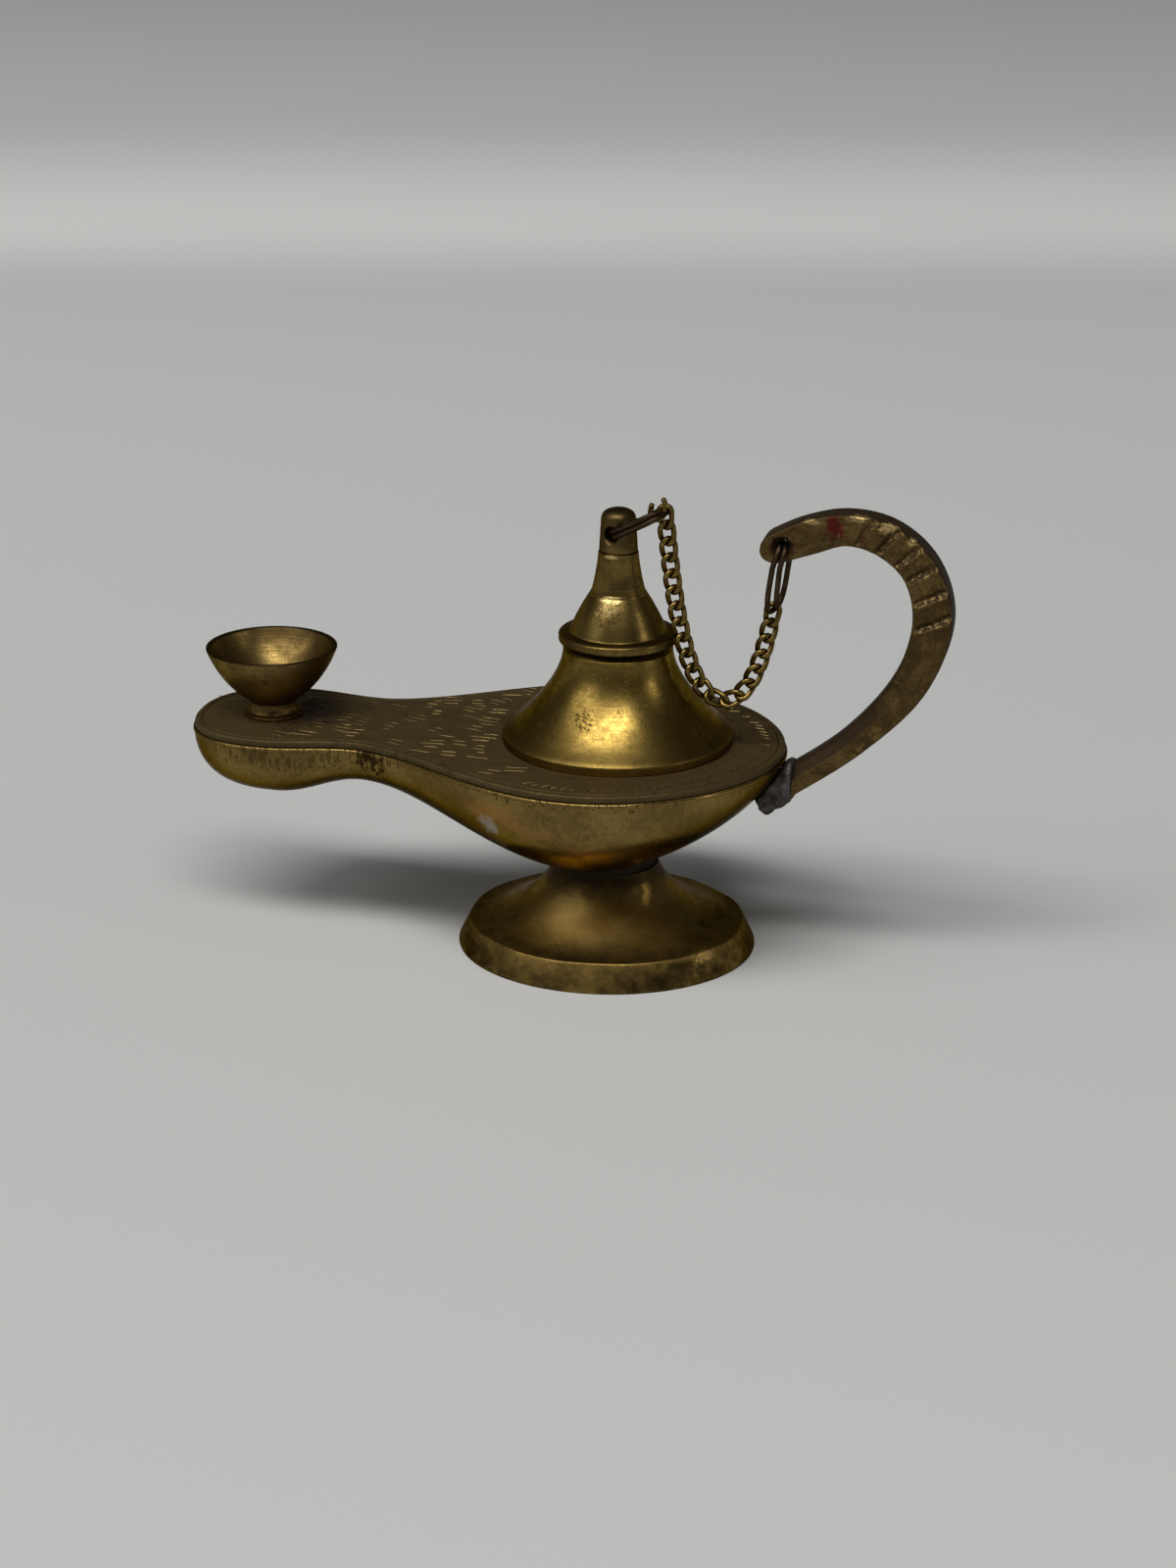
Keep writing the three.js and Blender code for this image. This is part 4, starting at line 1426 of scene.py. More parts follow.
@dataclass
class Handle:
    """The flat cast hook with its file notches, and the solder at its root."""

    reach: float = 55.9
    rise: float = 41.7
    width: float = 7.0
    thickness: float = 5.4
    edge_round: float = 0.5
    tip_round: float = 3.2
    hole_radius: float = 1.12
    hole_to_tip: float = 4.2
    root_gap: float = 1.65
    notch_depth: float = 0.55
    notch_width: float = 0.62
    bevel_start: float = 44.0
    bevel_run: float = 20.0
    bevel_edge: float = -0.12
    bevel_fall: float = 2.3
    chip_depth: float = 1.3
    loop_length: float = 12.4
    loop_hang_deg: float = 98.0
    voxel: float = 0.28
    steps: int = 560
    line_steps: int = 200
    across_face: int = 26
    across_back: int = 10
    across_side: int = 8

    def line_points(self) -> list[Point3]:
        """Gives the middle line as shares of reach, rise and width, from the tip to the root.

        Returns:
            The shares.
        """
        return [(0.458, 0.8753, 0.7286), (0.6029, 0.9568, 0.8857), (0.7245, 1.0, 0.8143), (0.8497, 0.964, 0.8857),
                (0.9553, 0.8417, 0.9286), (1.0, 0.6331, 1.0), (0.9392, 0.3549, 0.9), (0.7639, 0.0743, 0.6857),
                (0.4597, -0.2254, 0.6571)]

    def notches(self) -> list[Point3]:
        """Gives each notch's distance from the tip at the inner and the outer edge, and its depth share."""
        return [(12.9, 15.9, 0.45), (17.9, 20.1, 0.8), (22.5, 24.0, 0.9), (27.3, 27.9, 0.95), (31.6, 31.3, 1.0),
                (36.7, 35.3, 1.0), (42.5, 39.0, 1.0)]

    def middle_line(self) -> np.ndarray:
        """Gives closely spaced points of x, z and width along the middle line.

        Returns:
            One row for each point.
        """
        spots = np.array([(AXIS_X + out * self.reach, DECK_Z + up * self.rise, wide * self.width)
                          for out, up, wide in self.line_points()])
        ends = np.concatenate([[2 * spots[0] - spots[1]], spots, [2 * spots[-1] - spots[-2]]])
        fine = []
        for i in range(len(spots) - 1):
            p = ends[i:i + 4]
            d = [max(1e-4, float(np.linalg.norm(p[k + 1] - p[k])) ** 0.5) for k in range(3)]
            leave = ((p[1] - p[0]) / d[0] - (p[2] - p[0]) / (d[0] + d[1]) + (p[2] - p[1]) / d[1]) * d[1]
            arrive = ((p[2] - p[1]) / d[1] - (p[3] - p[1]) / (d[1] + d[2]) + (p[3] - p[2]) / d[2]) * d[1]
            for t in np.linspace(0.0, 1.0, self.line_steps, endpoint=i == len(spots) - 2):
                turn = -3 * p[1] + 3 * p[2] - 2 * leave - arrive
                fine.append(p[1] + leave * t + turn * t ** 2 + (2 * p[1] - 2 * p[2] + leave + arrive) * t ** 3)
        return np.array(fine)

    def at(self, from_tip: np.ndarray) -> tuple[np.ndarray, np.ndarray]:
        """Gives the middle line's points and directions at distances from the tip.

        Args:
            from_tip: the distances along the line.

        Returns:
            Rows of x, z and width, and rows of the direction in x and z.
        """
        fine = self.middle_line()
        run = run_along(fine)

        def read(distances: np.ndarray) -> np.ndarray:
            """Gives x, z and width at distances along the line."""
            return np.stack([np.interp(distances, run, fine[:, k]) for k in range(3)], axis=1)

        near, far = (read(np.clip(from_tip + step, 0.0, run[-1])) for step in (-0.3, 0.3))
        return read(from_tip), unit((far - near)[:, :2])

    def length(self) -> float:
        """Gives the middle line's length."""
        return float(run_along(self.middle_line())[-1])

    def spot(self, from_tip: float, out: float) -> Point3:
        """Gives a place on the handle's near face.

        Args:
            from_tip: the distance along the middle line.
            out: from -1 at the inner edge to 1 at the outer edge.

        Returns:
            The place.
        """
        points, along = self.at(np.array([from_tip]))
        x, z, wide = points[0]
        half = wide / 2 * out
        return (float(x - along[0][1] * half), -self.thickness / 2, float(z + along[0][0] * half))

    def loop_place(self) -> Matrix:
        """Gives the place of the wire loop in the tip's hole."""
        x, _, z = self.spot(self.hole_to_tip, 0.0)
        return Matrix.Translation((x, 0.0, z)) @ Matrix.Rotation(math.radians(self.loop_hang_deg), 4, "Y")

    def carve(self, from_tip: float, out: float) -> float:
        """Gives how far the file notches sink the near face at a place.

        Args:
            from_tip: the distance along the middle line.
            out: from -1 at the inner edge to 1 at the outer edge.

        Returns:
            The depth.
        """
        sunk = 0.0
        for inner, outer, share in self.notches():
            middle = inner + (outer - inner) * (out + 1) / 2
            away = (from_tip - middle) / self.notch_width
            body = math.exp(-away * away) - 0.5 * math.exp(-(away - 1.7) ** 2)
            reach = clamped((out + 0.98) / 0.3) * clamped((1.06 - out) / 0.22)
            sunk += body * share * reach
        wander = noise.noise(Vector((from_tip * 0.55, out * 1.6, 4.2)))
        grit = noise.noise(Vector((from_tip * 2.4, out * 6.5, 1.7)))
        crumb = noise.noise(Vector((from_tip * 4.4, out * 10.0, 7.7)))
        rough = 0.07 * wander + (0.1 * grit + 0.09 * crumb) * min(1.0, abs(sunk) * 2.2)
        window = clamped((from_tip - 13.0) / 3.0) * clamped((28.5 - from_tip) / 3.0)
        bite = max(0.0, noise.noise(Vector((from_tip * 0.6, 3.1, 9.4))) + 0.2)
        chip = max(0.0, (out - 0.58) / 0.42) ** 2 * bite * window * self.chip_depth
        return sunk * self.notch_depth + rough + chip

    def bevel(self, from_tip: float, out: float) -> float:
        """Gives how far the broad bevel along the lower arm's inner edge sinks the near face."""
        grown = clamped((from_tip - self.bevel_start) / self.bevel_run)
        return max(0.0, self.bevel_edge - out) * self.bevel_fall * (grown * grown * (3 - 2 * grown))

    def sunk(self, from_tip: float, out: float) -> float:
        """Gives how far notches and bevel together sink the near face at a place."""
        return self.carve(from_tip, out) + self.bevel(from_tip, out)

    def section(self) -> list[tuple[float, float, bool]]:
        """Gives the cross-section as across, through and near-face flags, each share from -1 to 1.

        Returns:
            The points round the section.
        """
        face, side, back = self.across_face, self.across_side, self.across_back
        return [*((-1 + 2 * k / face, -1.0, True) for k in range(face + 1)),
                *((1.0, -1 + 2 * k / side, False) for k in range(1, side)),
                *((1 - 2 * k / back, 1.0, False) for k in range(back + 1)),
                *((-1.0, 1 - 2 * k / side, False) for k in range(1, side))]

    def hook_mesh(self) -> Shape:
        """Gives the hook's points and faces before its hole is drilled.

        Returns:
            The points and faces.
        """
        total = self.length()
        distances = np.array([0.03 + (total - 0.03) * (i / self.steps) ** 1.1 for i in range(self.steps + 1)])
        spots, along = self.at(distances)
        ring = self.section()
        points: list[Point3] = []
        for from_tip, (x, z, wide), (along_x, along_z) in zip(distances.tolist(), spots, along):
            half_wide = wide / 2 * rounded_end(1 - min(1.0, from_tip / self.tip_round), 2)
            end = 1 - rounded_end(1 - min(1.0, from_tip / self.edge_round), 2)
            half_thick = self.thickness / 2 - self.edge_round * 0.8 * end
            corner = min(self.edge_round, half_wide * 0.6)
            edges = {edge: self.sunk(from_tip, edge) for edge in (-1.0, 1.0)}
            for across, through, near in ring:
                u, v = across * half_wide, through * half_thick
                past_u, past_v = abs(u) - (half_wide - corner), abs(v) - (half_thick - corner)
                if past_u > 0 and past_v > 0:
                    away = math.hypot(past_u, past_v)
                    pull = corner / max(away, 1e-9) if away > corner else 1.0
                    u = math.copysign(half_wide - corner + past_u * pull, u)
                    v = math.copysign(half_thick - corner + past_v * pull, v)
                if near:
                    v += self.sunk(from_tip, across)
                elif abs(through) < 1:
                    v += edges[across] * (half_thick - v) / (2 * half_thick)
                points.append((float(x - along_z * u), float(v), float(z + along_x * u)))
        count = len(ring)
        faces: Faces = [tuple(range(count)), tuple(range(self.steps * count, (self.steps + 1) * count))]
        for i in range(self.steps):
            faces += strip(count, i * count, (i + 1) * count, True)
        return np.array(points), faces

    def hook(self) -> Piece:
        """Builds the hook, cuts it off at its root and drills its hole.

        Returns:
            The piece.
        """
        def lowest(part: object) -> float:
            """Gives how high the lowest point of a vertex, an edge or a face lies."""
            return part.co.z if isinstance(part, bmesh.types.BMVert) else min(v.co.z for v in part.verts)

        piece = make_object("handle_hook", *self.hook_mesh(), CAST_CREASE)
        root, deck = (AXIS_X + BoatLines().rear_x + self.root_gap) * MM, DECK_Z * MM
        with edited(piece.data) as work:
            low = [g for g in (*work.verts, *work.edges, *work.faces) if lowest(g) < deck]
            kept = bmesh.ops.bisect_plane(work, geom=low, plane_co=(root, 0.0, 0.0), plane_no=(1.0, 0.0, 0.0),
                                          clear_inner=False, clear_outer=False)
            spare = [v for v in work.verts if v.co.x < root - 1e-7 and v.co.z < deck]
            bmesh.ops.delete(work, geom=spare, context="VERTS")
            rim = [e for e in kept["geom_cut"] if isinstance(e, bmesh.types.BMEdge) and e.is_valid and e.is_boundary]
            bmesh.ops.contextual_create(work, geom=rim)
        settle(piece.data, CAST_CREASE)
        x, _, z = self.spot(self.hole_to_tip, 0.0)
        half, hole = self.thickness / 2, self.hole_radius
        rod = [(0.0, -half - 1.0), (hole + 1.6, -half - 1.0), (hole + 0.1, -half + 0.9), (hole, -half + 1.1),
               (hole, half - 0.5), (hole + 1.0, half + 1.0), (0.0, half + 1.0)]
        drill(piece, rod, Matrix.Translation((x, 0.0, z)) @ Matrix.Rotation(-math.pi / 2, 4, "X"), CAST_CREASE)
        return piece

    def solder(self) -> Piece:
        """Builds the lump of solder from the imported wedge, remeshed and swollen into drips.

        Returns:
            The piece.
        """
        def smooth() -> None:
            """Evens out the open mesh."""
            bmesh.ops.smooth_vert(work, verts=work.verts, factor=0.5, use_axis_x=True, use_axis_y=True,
                                  use_axis_z=True)

        def swell(place: Vector) -> float:
            """Gives how far the solder stands out at a place."""
            return 0.34 + 0.45 * noise.noise(place * 0.55) + 0.2 * noise.noise(place * 1.6)

        piece = placed("root_solder", frame["nodes"]["handle_solder"].data.copy())
        remesh = piece.modifiers.new("remesh", "REMESH")
        remesh.mode, remesh.voxel_size = "VOXEL", self.voxel * MM
        mesh = worked_in(piece)
        mesh.name = piece.name
        with edited(mesh) as work:
            for _ in range(6):
                smooth()
            work.normal_update()
            lumps = [vert.co + vert.normal * swell(vert.co / MM) * MM for vert in work.verts]
            for vert, lump in zip(work.verts, lumps):
                vert.co = lump
            smooth()
        settle(mesh, ROUND_CREASE)
        return piece

    def build(self) -> None:
        """Builds and dresses the hook and its solder."""
        dress(self.hook(), HANDLE_BRASS, "base", "cast_brass", "handle")
        dress(self.solder(), SOLDER_GREY, "base", "solder", "handle_solder")


# Wire loops and chain


@dataclass
class WireLoop:
    """A squashed loop wound from wire, hanging in a drilled hole."""

    name: str
    node: str
    place: Matrix
    length: float
    thickness: float
    turns: float
    start: float
    middle: float
    wire: float = 0.5
    play: float = 0.4
    power: float = 3.6
    pitch: float = 0.98
    spread: float = 0.0
    twist_deg: float = 0.0
    sides: int = 14
    turn_steps: int = 96

    def path(self) -> np.ndarray:
        """Gives the wire's middle line in the loop's own plane.

        Returns:
            The points.
        """
        width = self.thickness + 2 * (self.wire + self.play)
        count = int(self.turn_steps * self.turns)
        points = []
        for k in range(count + 1):
            share = self.start + self.turns * k / count
            turn = 2 * math.pi * share
            c, s = math.cos(turn), math.sin(turn)
            x = self.length / 2 * (1 - math.copysign(abs(c) ** (2 / self.power), c))
            y = width / 2 * math.copysign(abs(s) ** (2 / self.power), s)
            open_up = 1 + self.spread * (x / self.length) ** 0.7
            lean = self.pitch * (self.middle - share) * open_up
            grow = 1 + 0.025 * math.sin(turn * 0.5 + 1.0)
            twist = math.radians(self.twist_deg) * eased(0.0, 1.0, min(1.0, x / (0.35 * self.length)))
            wide = y * grow
            points.append((x, wide * math.cos(twist) - lean * math.sin(twist),
                           wide * math.sin(twist) + lean * math.cos(twist)))
        return np.array(points)

    def build(self) -> None:
        """Builds and dresses the loop."""
        points, faces = swept(self.path(), self.wire, self.sides, False)
        piece = make_object(self.name, moved(points, self.place), faces, FINE_CREASE)
        dress(piece, WIRE_DARK, self.node, "dark_wire", self.node)


@dataclass
class Chain:
    """The curb chain between the two wire loops, and the broken link left on the lid's loop."""

    pitch: float = 2.95
    width: float = 3.15
    wire: float = 0.4
    wear_wire: float = 0.49
    play: float = 0.2
    twist_deg: float = 45.0
    count: int = 20
    loop_wire: float = 0.5
    pull_limit: float = 4.0
    solve_steps: int = 60
    curve_steps: int = 44
    sides: int = 10
    broken_twists: Point2 = (-0.5, 0.4)
    broken_run: Point2 = (0.02, 0.74)
    broken_lean_deg: Point2 = (98.0, 76.0)
    broken_place: Point3 = (-0.75, -0.9, 0.0)
    broken_hang: Point3 = (-0.3, 0.0, 1.05)

    def link_path(self, near_twist: float, far_twist: float, first: float = 0.0, last: float = 1.0) -> np.ndarray:
        """Gives the middle line of one link's wire, lying along X.

        Args:
            near_twist: the turn of its near end about its length.
            far_twist: the turn of its far end.
            first: where the wire starts, as a share of the way round.
            last: where it ends.

        Returns:
            The points.
        """
        bend_radius = self.width / 2 - self.wire
        length = self.pitch + 2 * self.wire + self.play
        leg = length - 2 * bend_radius
        half_way = leg + math.pi * bend_radius
        points = []
        whole = last - first >= 1.0
        for k in range(self.curve_steps if whole else self.curve_steps + 1):
            share = first + (last - first) * k / self.curve_steps
            place = (share % 1.0) * 2 * half_way
            half = 1 if place < half_way else -1
            run = place % half_way
            turn = max(0.0, run - leg) / bend_radius
            x = half * (min(run, leg) - leg / 2 + bend_radius * math.sin(turn))
            y = half * -bend_radius * math.cos(turn)
            twist = near_twist + (far_twist - near_twist) * (0.5 + x / length)
            points.append((x, y * math.cos(twist), y * math.sin(twist)))
        return np.array(points)

    def hanging_angles(self, lengths: Sequence[float], across: float, rise: float) -> list[float]:
        """Gives the direction in which each link of a hanging row points.

        Args:
            lengths: the length of each link.
            across: the level distance between the ends.
            rise: how much higher the far end is.

        Returns:
            One angle for each link.
        """
        def angles(pull: float, start: float) -> list[float]:
            """Gives the angles for a sideways pull and the first link's share of the weight."""
            return [math.atan2(start + i, pull) for i in range(len(lengths))]

        def search(low: float, high: float, too_far: Callable[[float], bool]) -> float:
            """Halves a range until the value at which a test turns true is found.

            Args:
                low: the range's lower end.
                high: its upper end.
                too_far: the test.

            Returns:
                The value.
            """
            for _ in range(self.solve_steps):
                middle = (low + high) / 2
                low, high = (low, middle) if too_far(middle) else (middle, high)
            return low

        def start_for(pull: float) -> float:
            """Gives the start at which the row ends at the right height."""
            return search(-limit, limit, lambda s: sum(
                n * math.sin(a) for n, a in zip(lengths, angles(pull, s))) > rise)

        limit = self.pull_limit * len(lengths)
        found = search(0.0, limit, lambda p: sum(
            n * math.cos(a) for n, a in zip(lengths, angles(p, start_for(p)))) > across)
        return angles(found, start_for(found))

    def body_of(self, number: int) -> str:
        """Gives the body that a link belongs to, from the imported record."""
        groups = frame["record"]["behaviour"]["bodies"]
        return next(body for body, nodes in groups.items() if f"link_{number:02d}" in nodes)

    def build(self, first: Vector, last: Vector, lid_place: Matrix, lid_length: float) -> None:
        """Builds and dresses every link.

        Args:
            first: the end of the lid's loop.
            last: the end of the handle's loop.
            lid_place: the place of the lid's loop.
            lid_length: the length of the lid's loop.
        """
        short = self.pitch - self.loop_wire - self.play / 2
        lengths = [short if i in (0, self.count - 1) else self.pitch for i in range(self.count)]
        level = Vector((last.x - first.x, last.y - first.y))
        angles = self.hanging_angles(lengths, level.length, last.z - first.z)
        turn = Matrix.Rotation(math.atan2(level.y, level.x), 4, "Z") @ Matrix.Rotation(math.pi / 2, 4, "X")
        base = Matrix.Translation(first) @ turn
        end = Vector((0.0, 0.0, 0.0))
        twist = math.radians(self.twist_deg)
        for i, angle in enumerate(angles):
            along = Vector((math.cos(angle), math.sin(angle), 0.0))
            near_half = lengths[i] - self.pitch / 2 if i == 0 else self.pitch / 2
            path = self.link_path(0.0 if i == 0 else -twist, 0.0 if i == self.count - 1 else twist)
            place = base @ Matrix.Translation(end + along * near_half) @ Matrix.Rotation(angle, 4, "Z")
            self.link(f"chain_link_{i + 1:02d}", path, True, place, self.body_of(i + 1), f"link_{i + 1:02d}")
            end += along * lengths[i]
        self.broken_link(lid_place, lid_length)

    def link(self, name: str, path: np.ndarray, closed: bool, place: Matrix, body: str, *nodes: str) -> None:
        """Builds and dresses one link.

        Args:
            name: the piece's name.
            path: the wire's middle line.
            closed: whether it runs back to its start.
            place: the link's place.
            body: the body that it rides on.
            nodes: the solids that it stands for.
        """
        points, faces = swept(path, self.wear_wire, self.sides, closed)
        piece = make_object(name, moved(points, place), faces, ROUND_CREASE)
        dress(piece, CHAIN_BRASS, body, "chain_brass", *nodes)

    def broken_link(self, lid_place: Matrix, lid_length: float) -> None:
        """Builds the cut link that is left on the lid's loop.

        Args:
            lid_place: the place of the lid's loop.
            lid_length: the loop's length.
        """
        path = self.link_path(*self.broken_twists, *self.broken_run)
        x, y, z = self.broken_place
        hook = lid_place @ Vector((lid_length + x, y, z))
        over, round_wire = (Matrix.Rotation(math.radians(a), 4, axis) for a, axis in zip(self.broken_lean_deg, "YX"))
        place = Matrix.Translation(hook + Vector(self.broken_hang)) @ (over @ round_wire)
        self.link("broken_link", path, False, place, "lid_loop")


# The studio


def aimed(name: str, data: bpy.types.ID, place: Point3, direction: Vector) -> Piece:
    """Puts a lamp or a camera into the scene, facing a direction.

    Args:
        name: its name.
        data: the lamp or the camera.
        place: its place in millimetres.
        direction: where it faces.

    Returns:
        The new object.
    """
    thing = placed(name, data)
    thing.location = [v * MM for v in place]
    thing.rotation_euler = direction.to_track_quat("-Z", "Y").to_euler()
    return thing


@dataclass(frozen=True)
class SoftBox:
    """One soft lamp that faces the burner's middle."""

    name: str
    place: Point3
    size: Point2
    watts: float
    colour: Color
    aim: Point3 = (0.0, 0.0, 30.0)

    def build(self) -> None:
        """Makes the lamp."""
        data = bpy.data.lights.new(self.name, "AREA")
        data.shape = "RECTANGLE"
        data.size, data.size_y = (v * MM for v in self.size)
        data.energy = self.watts
        data.color = self.colour
        aimed(self.name, data, self.place, Vector(self.aim) - Vector(self.place))


@dataclass
class Studio:
    """The pale floor, the soft lights and the camera."""

    camera_place: Point3 = (131.8, -576.2, 247.2)
    camera_aim: Point3 = (-0.2031, 0.9163, -0.3453)
    focal_pixels: float = 3560.0
    sensor: float = 36.0
    clip: Point2 = (0.01, 50.0)
    floor_size: float = 9000.0
    floor_colour: Color = (0.598, 0.609, 0.612)
    # The far, band and back colours are painted light: paler paper far away makes up for the lamps' fall-off, and the
    # band is a painted sheen where the backdrop would curve up
    far_colour: Color = (0.70, 0.716, 0.714)
    far_depth: Point2 = (0.5, 1.15)
    sheen_band_colour: Color = (0.95, 0.965, 0.965)
    sheen_band_depth: Point2 = (1.14, 1.27)
    back_colour: Color = (0.76, 0.775, 0.772)
    back_depth: Point2 = (1.29, 1.5)
    dust_colour: Color = (0.35, 0.345, 0.34)
    dust_grit: float = 420.0
    floor_rough: float = 0.6
    floor_gloss: float = 0.2
    world_colour: Color = (0.98, 1.0, 1.0)
    level_strength: float = 0.46
    top_strength: float = 0.05
    fade_height: float = 0.36
    lamps: tuple[SoftBox, ...] = (
        SoftBox("key", (-150.0, -1120.0, 2260.0), (2200.0, 600.0), 47.5, (1.0, 0.98, 0.95)),
        SoftBox("left", (-1450.0, -1100.0, 1550.0), (1400.0, 1000.0), 11.0, (1.0, 0.985, 0.96)),
        SoftBox("side", (1180.0, -230.0, 620.0), (130.0, 420.0), 0.9, (1.0, 0.96, 0.9)),
    )

    def camera(self) -> None:
        """Makes the camera of the photograph."""
        data = bpy.data.cameras.new("camera")
        data.sensor_fit = "VERTICAL"
        data.sensor_height = self.sensor
        data.lens = self.sensor * self.focal_pixels / IMAGE_HEIGHT
        data.clip_start, data.clip_end = self.clip
        data.dof.use_dof = False
        bpy.context.scene.camera = aimed("camera", data, self.camera_place, Vector(self.camera_aim))

    def floor(self) -> None:
        """Makes the floor, painted paler far away to make up for the lamps' fall-off, with a painted sheen band far
        behind the lamp.
        """
        half = self.floor_size / 2
        points = np.array([(-half, -half, 0.0), (half, -half, 0.0), (half, half, 0.0), (-half, half, 0.0)])
        piece = make_object("floor", points, [(0, 1, 2, 3)])
        bench = NodeBench("floor_paper")
        away = Vector((*self.camera_aim[:2], 0.0)).normalized()
        x, y, _ = bench.split(bench.coords)
        start = (Vector(self.camera_place) * MM).dot(away)
        depth = bench.math("SUBTRACT", bench.weighed((x, away.x), (y, away.y)), start)
        paper: object = self.floor_colour
        for colour, depths in ((self.far_colour, self.far_depth), (self.sheen_band_colour, self.sheen_band_depth),
                               (self.back_colour, self.back_depth)):
            paper = bench.mix(bench.band(depth, *depths), paper, colour)
        dust = bench.band(bench.noise(bench.coords, self.dust_grit, 3.0), 0.74, 0.8, 0.0, 0.35)
        paper = bench.mix(dust, paper, self.dust_colour)
        sockets = {"Base Color": paper, "Roughness": self.floor_rough, "Specular IOR Level": self.floor_gloss}
        for name, value in sockets.items():
            bench.feed(bench.shader.inputs[name], value)
        piece.data.materials.append(bench.material)

    def world(self) -> None:
        """Fills the room with weak light, paler near the level of the floor than overhead."""
        world = bpy.data.worlds.new("room")
        world.use_nodes = True
        nodes, links = world.node_tree.nodes, world.node_tree.links
        back = nodes["Background"]
        back.inputs["Color"].default_value = (*self.world_colour, 1.0)
        split = nodes.new("ShaderNodeSeparateXYZ")
        links.new(nodes.new("ShaderNodeTexCoord").outputs["Generated"], split.inputs[0])
        fade = nodes.new("ShaderNodeMapRange")
        fade.interpolation_type = "SMOOTHSTEP"
        for socket, value in zip(fade.inputs[1:5], (0.0, self.fade_height, self.level_strength, self.top_strength)):
            socket.default_value = value
        links.new(split.outputs[2], fade.inputs[0])
        links.new(fade.outputs[0], back.inputs["Strength"])
        bpy.context.scene.world = world

    def build(self) -> None:
        """Makes the whole studio."""
        self.camera()
        self.floor()
        self.world()
        for lamp in self.lamps:
            lamp.build()
        bpy.context.scene.view_settings.view_transform = "Standard"


# The finishes of the pieces

# A patch's plain numbers are its place, reach, colour, strength, raggedness and grit; the patches marked painted stand
# in for light or shade
HOOK = Handle()
HULL_BRASS = Finish(
    "hull_brass", (0.255, 0.171, 0.052), (0.158, 0.104, 0.033), (0.06, 0.038, 0.012), gloss=(0.17, 0.27),
    tarnish=0.55, patch=11.0, grain=Grain.FILED, marks=0.3, mark_size=0.35, wear=0.3, bump=0.03, stains_and_painted_light=(
        StainOrPaintedLight((-7.5, -27.0, 33.4), (9.5, 5.0, 2.8), (0.34, 0.17, 0.05), 0.6, 1.3, 420.0, rough=0.3, soft=0.8,
              least=0.3),
        StainOrPaintedLight((-8.3, -25.2, 30.3), (2.6, 3.2, 2.8), (0.31, 0.295, 0.26), 0.75, 1.1, 620.0, metal=0.3, soft=0.7),
        # painted reflection: the foot's golden sweep mirrored in the lower belly
        StainOrPaintedLight((10.6, -27.4, 27.4), (5.0, 4.0, 2.4), (0.40, 0.21, 0.05), 0.45, 1.3, 600.0, rough=0.25, soft=0.9),
        StainOrPaintedLight((-32.0, -14.0, 36.2), (3.4, 4.0, 2.8), (0.02, 0.012, 0.004), 0.9, 2.6, 1500.0, soft=0.3,
              drawn=(1.0, 1.0, 0.12), least=0.75),
        StainOrPaintedLight((-45.0, -14.5, 36.6), (15.0, 5.0, 2.8), (0.035, 0.022, 0.008), 0.55, 2.6, 1500.0, soft=0.35,
              drawn=(1.0, 1.0, 0.12), least=0.95),
        # painted shade: the dark gap between the bowl's bottom and the foot
        StainOrPaintedLight((AXIS_X - 2.0, 0.0, 16.4), (24.0, 24.0, 2.6), (0.008, 0.005, 0.003), 0.96, 0.3, 300.0, metal=0.5,
              rough=0.6, soft=0.4),
        StainOrPaintedLight((0.5, -28.5, 31.0), (8.0, 4.0, 1.9), (0.31, 0.165, 0.055), 0.5, 1.3, 420.0, rough=0.3, soft=0.8,
              least=0.3),
        StainOrPaintedLight((6.0, -31.0, RIM_Z - 0.5), (24.0, 6.0, 0.9), (0.02, 0.012, 0.005), 0.9, 3.0, 1700.0, least=1.3),
    ))
DECK_BRASS = Finish(
    "deck_brass", (0.185, 0.128, 0.048), (0.105, 0.073, 0.029), (0.042, 0.029, 0.012), gloss=(0.42, 0.6), tarnish=0.7,
    patch=6.0, mark_size=0.6, pits=0.8, wear=0.35, metal=0.8, bump=0.08, side_darkening=0.55, face_axis=(0.0, 0.0, 1.0),
    stains_and_painted_light=(
        StainOrPaintedLight((cup_x() + 6.0, 2.0, DECK_Z), (10.0, 7.0, 4.0), (0.03, 0.022, 0.015), 0.6, 1.1, 500.0, metal=0.4,
              rough=0.7),
        StainOrPaintedLight((AXIS_X - 30.0, -6.0, DECK_Z), (24.0, 20.0, 4.0), (0.032, 0.022, 0.011), 0.45, 2.6, 900.0,
              metal=0.6, rough=0.7, drawn=(0.22, 1.0, 1.0), least=0.95),
    ))
CUT_BRASS = Finish(
    "cut_brass", (0.27, 0.194, 0.083), (0.125, 0.089, 0.037), (0.07, 0.046, 0.02), gloss=(0.4, 0.5), tarnish=0.65,
    patch=3.0, pits=0.2, marks=0.1, dirt=0.2, stains_and_painted_light=(
        # painted glints on the engraved ticks along the deck's front right
        StainOrPaintedLight((AXIS_X + 8.0, -27.0, DECK_Z), (24.0, 7.0, 4.0), (0.6, 0.45, 0.2), 0.9, 0.4, 500.0, rough=0.4,
              soft=0.6),
    ))
GROOVE_DIRT = Finish(
    "groove_dirt", (0.045, 0.03, 0.016), (0.026, 0.018, 0.01), (0.012, 0.008, 0.005), gloss=(0.6, 0.7), patch=3.0,
    pits=0.2, marks=0.1, wear=0.2, metal=0.4)
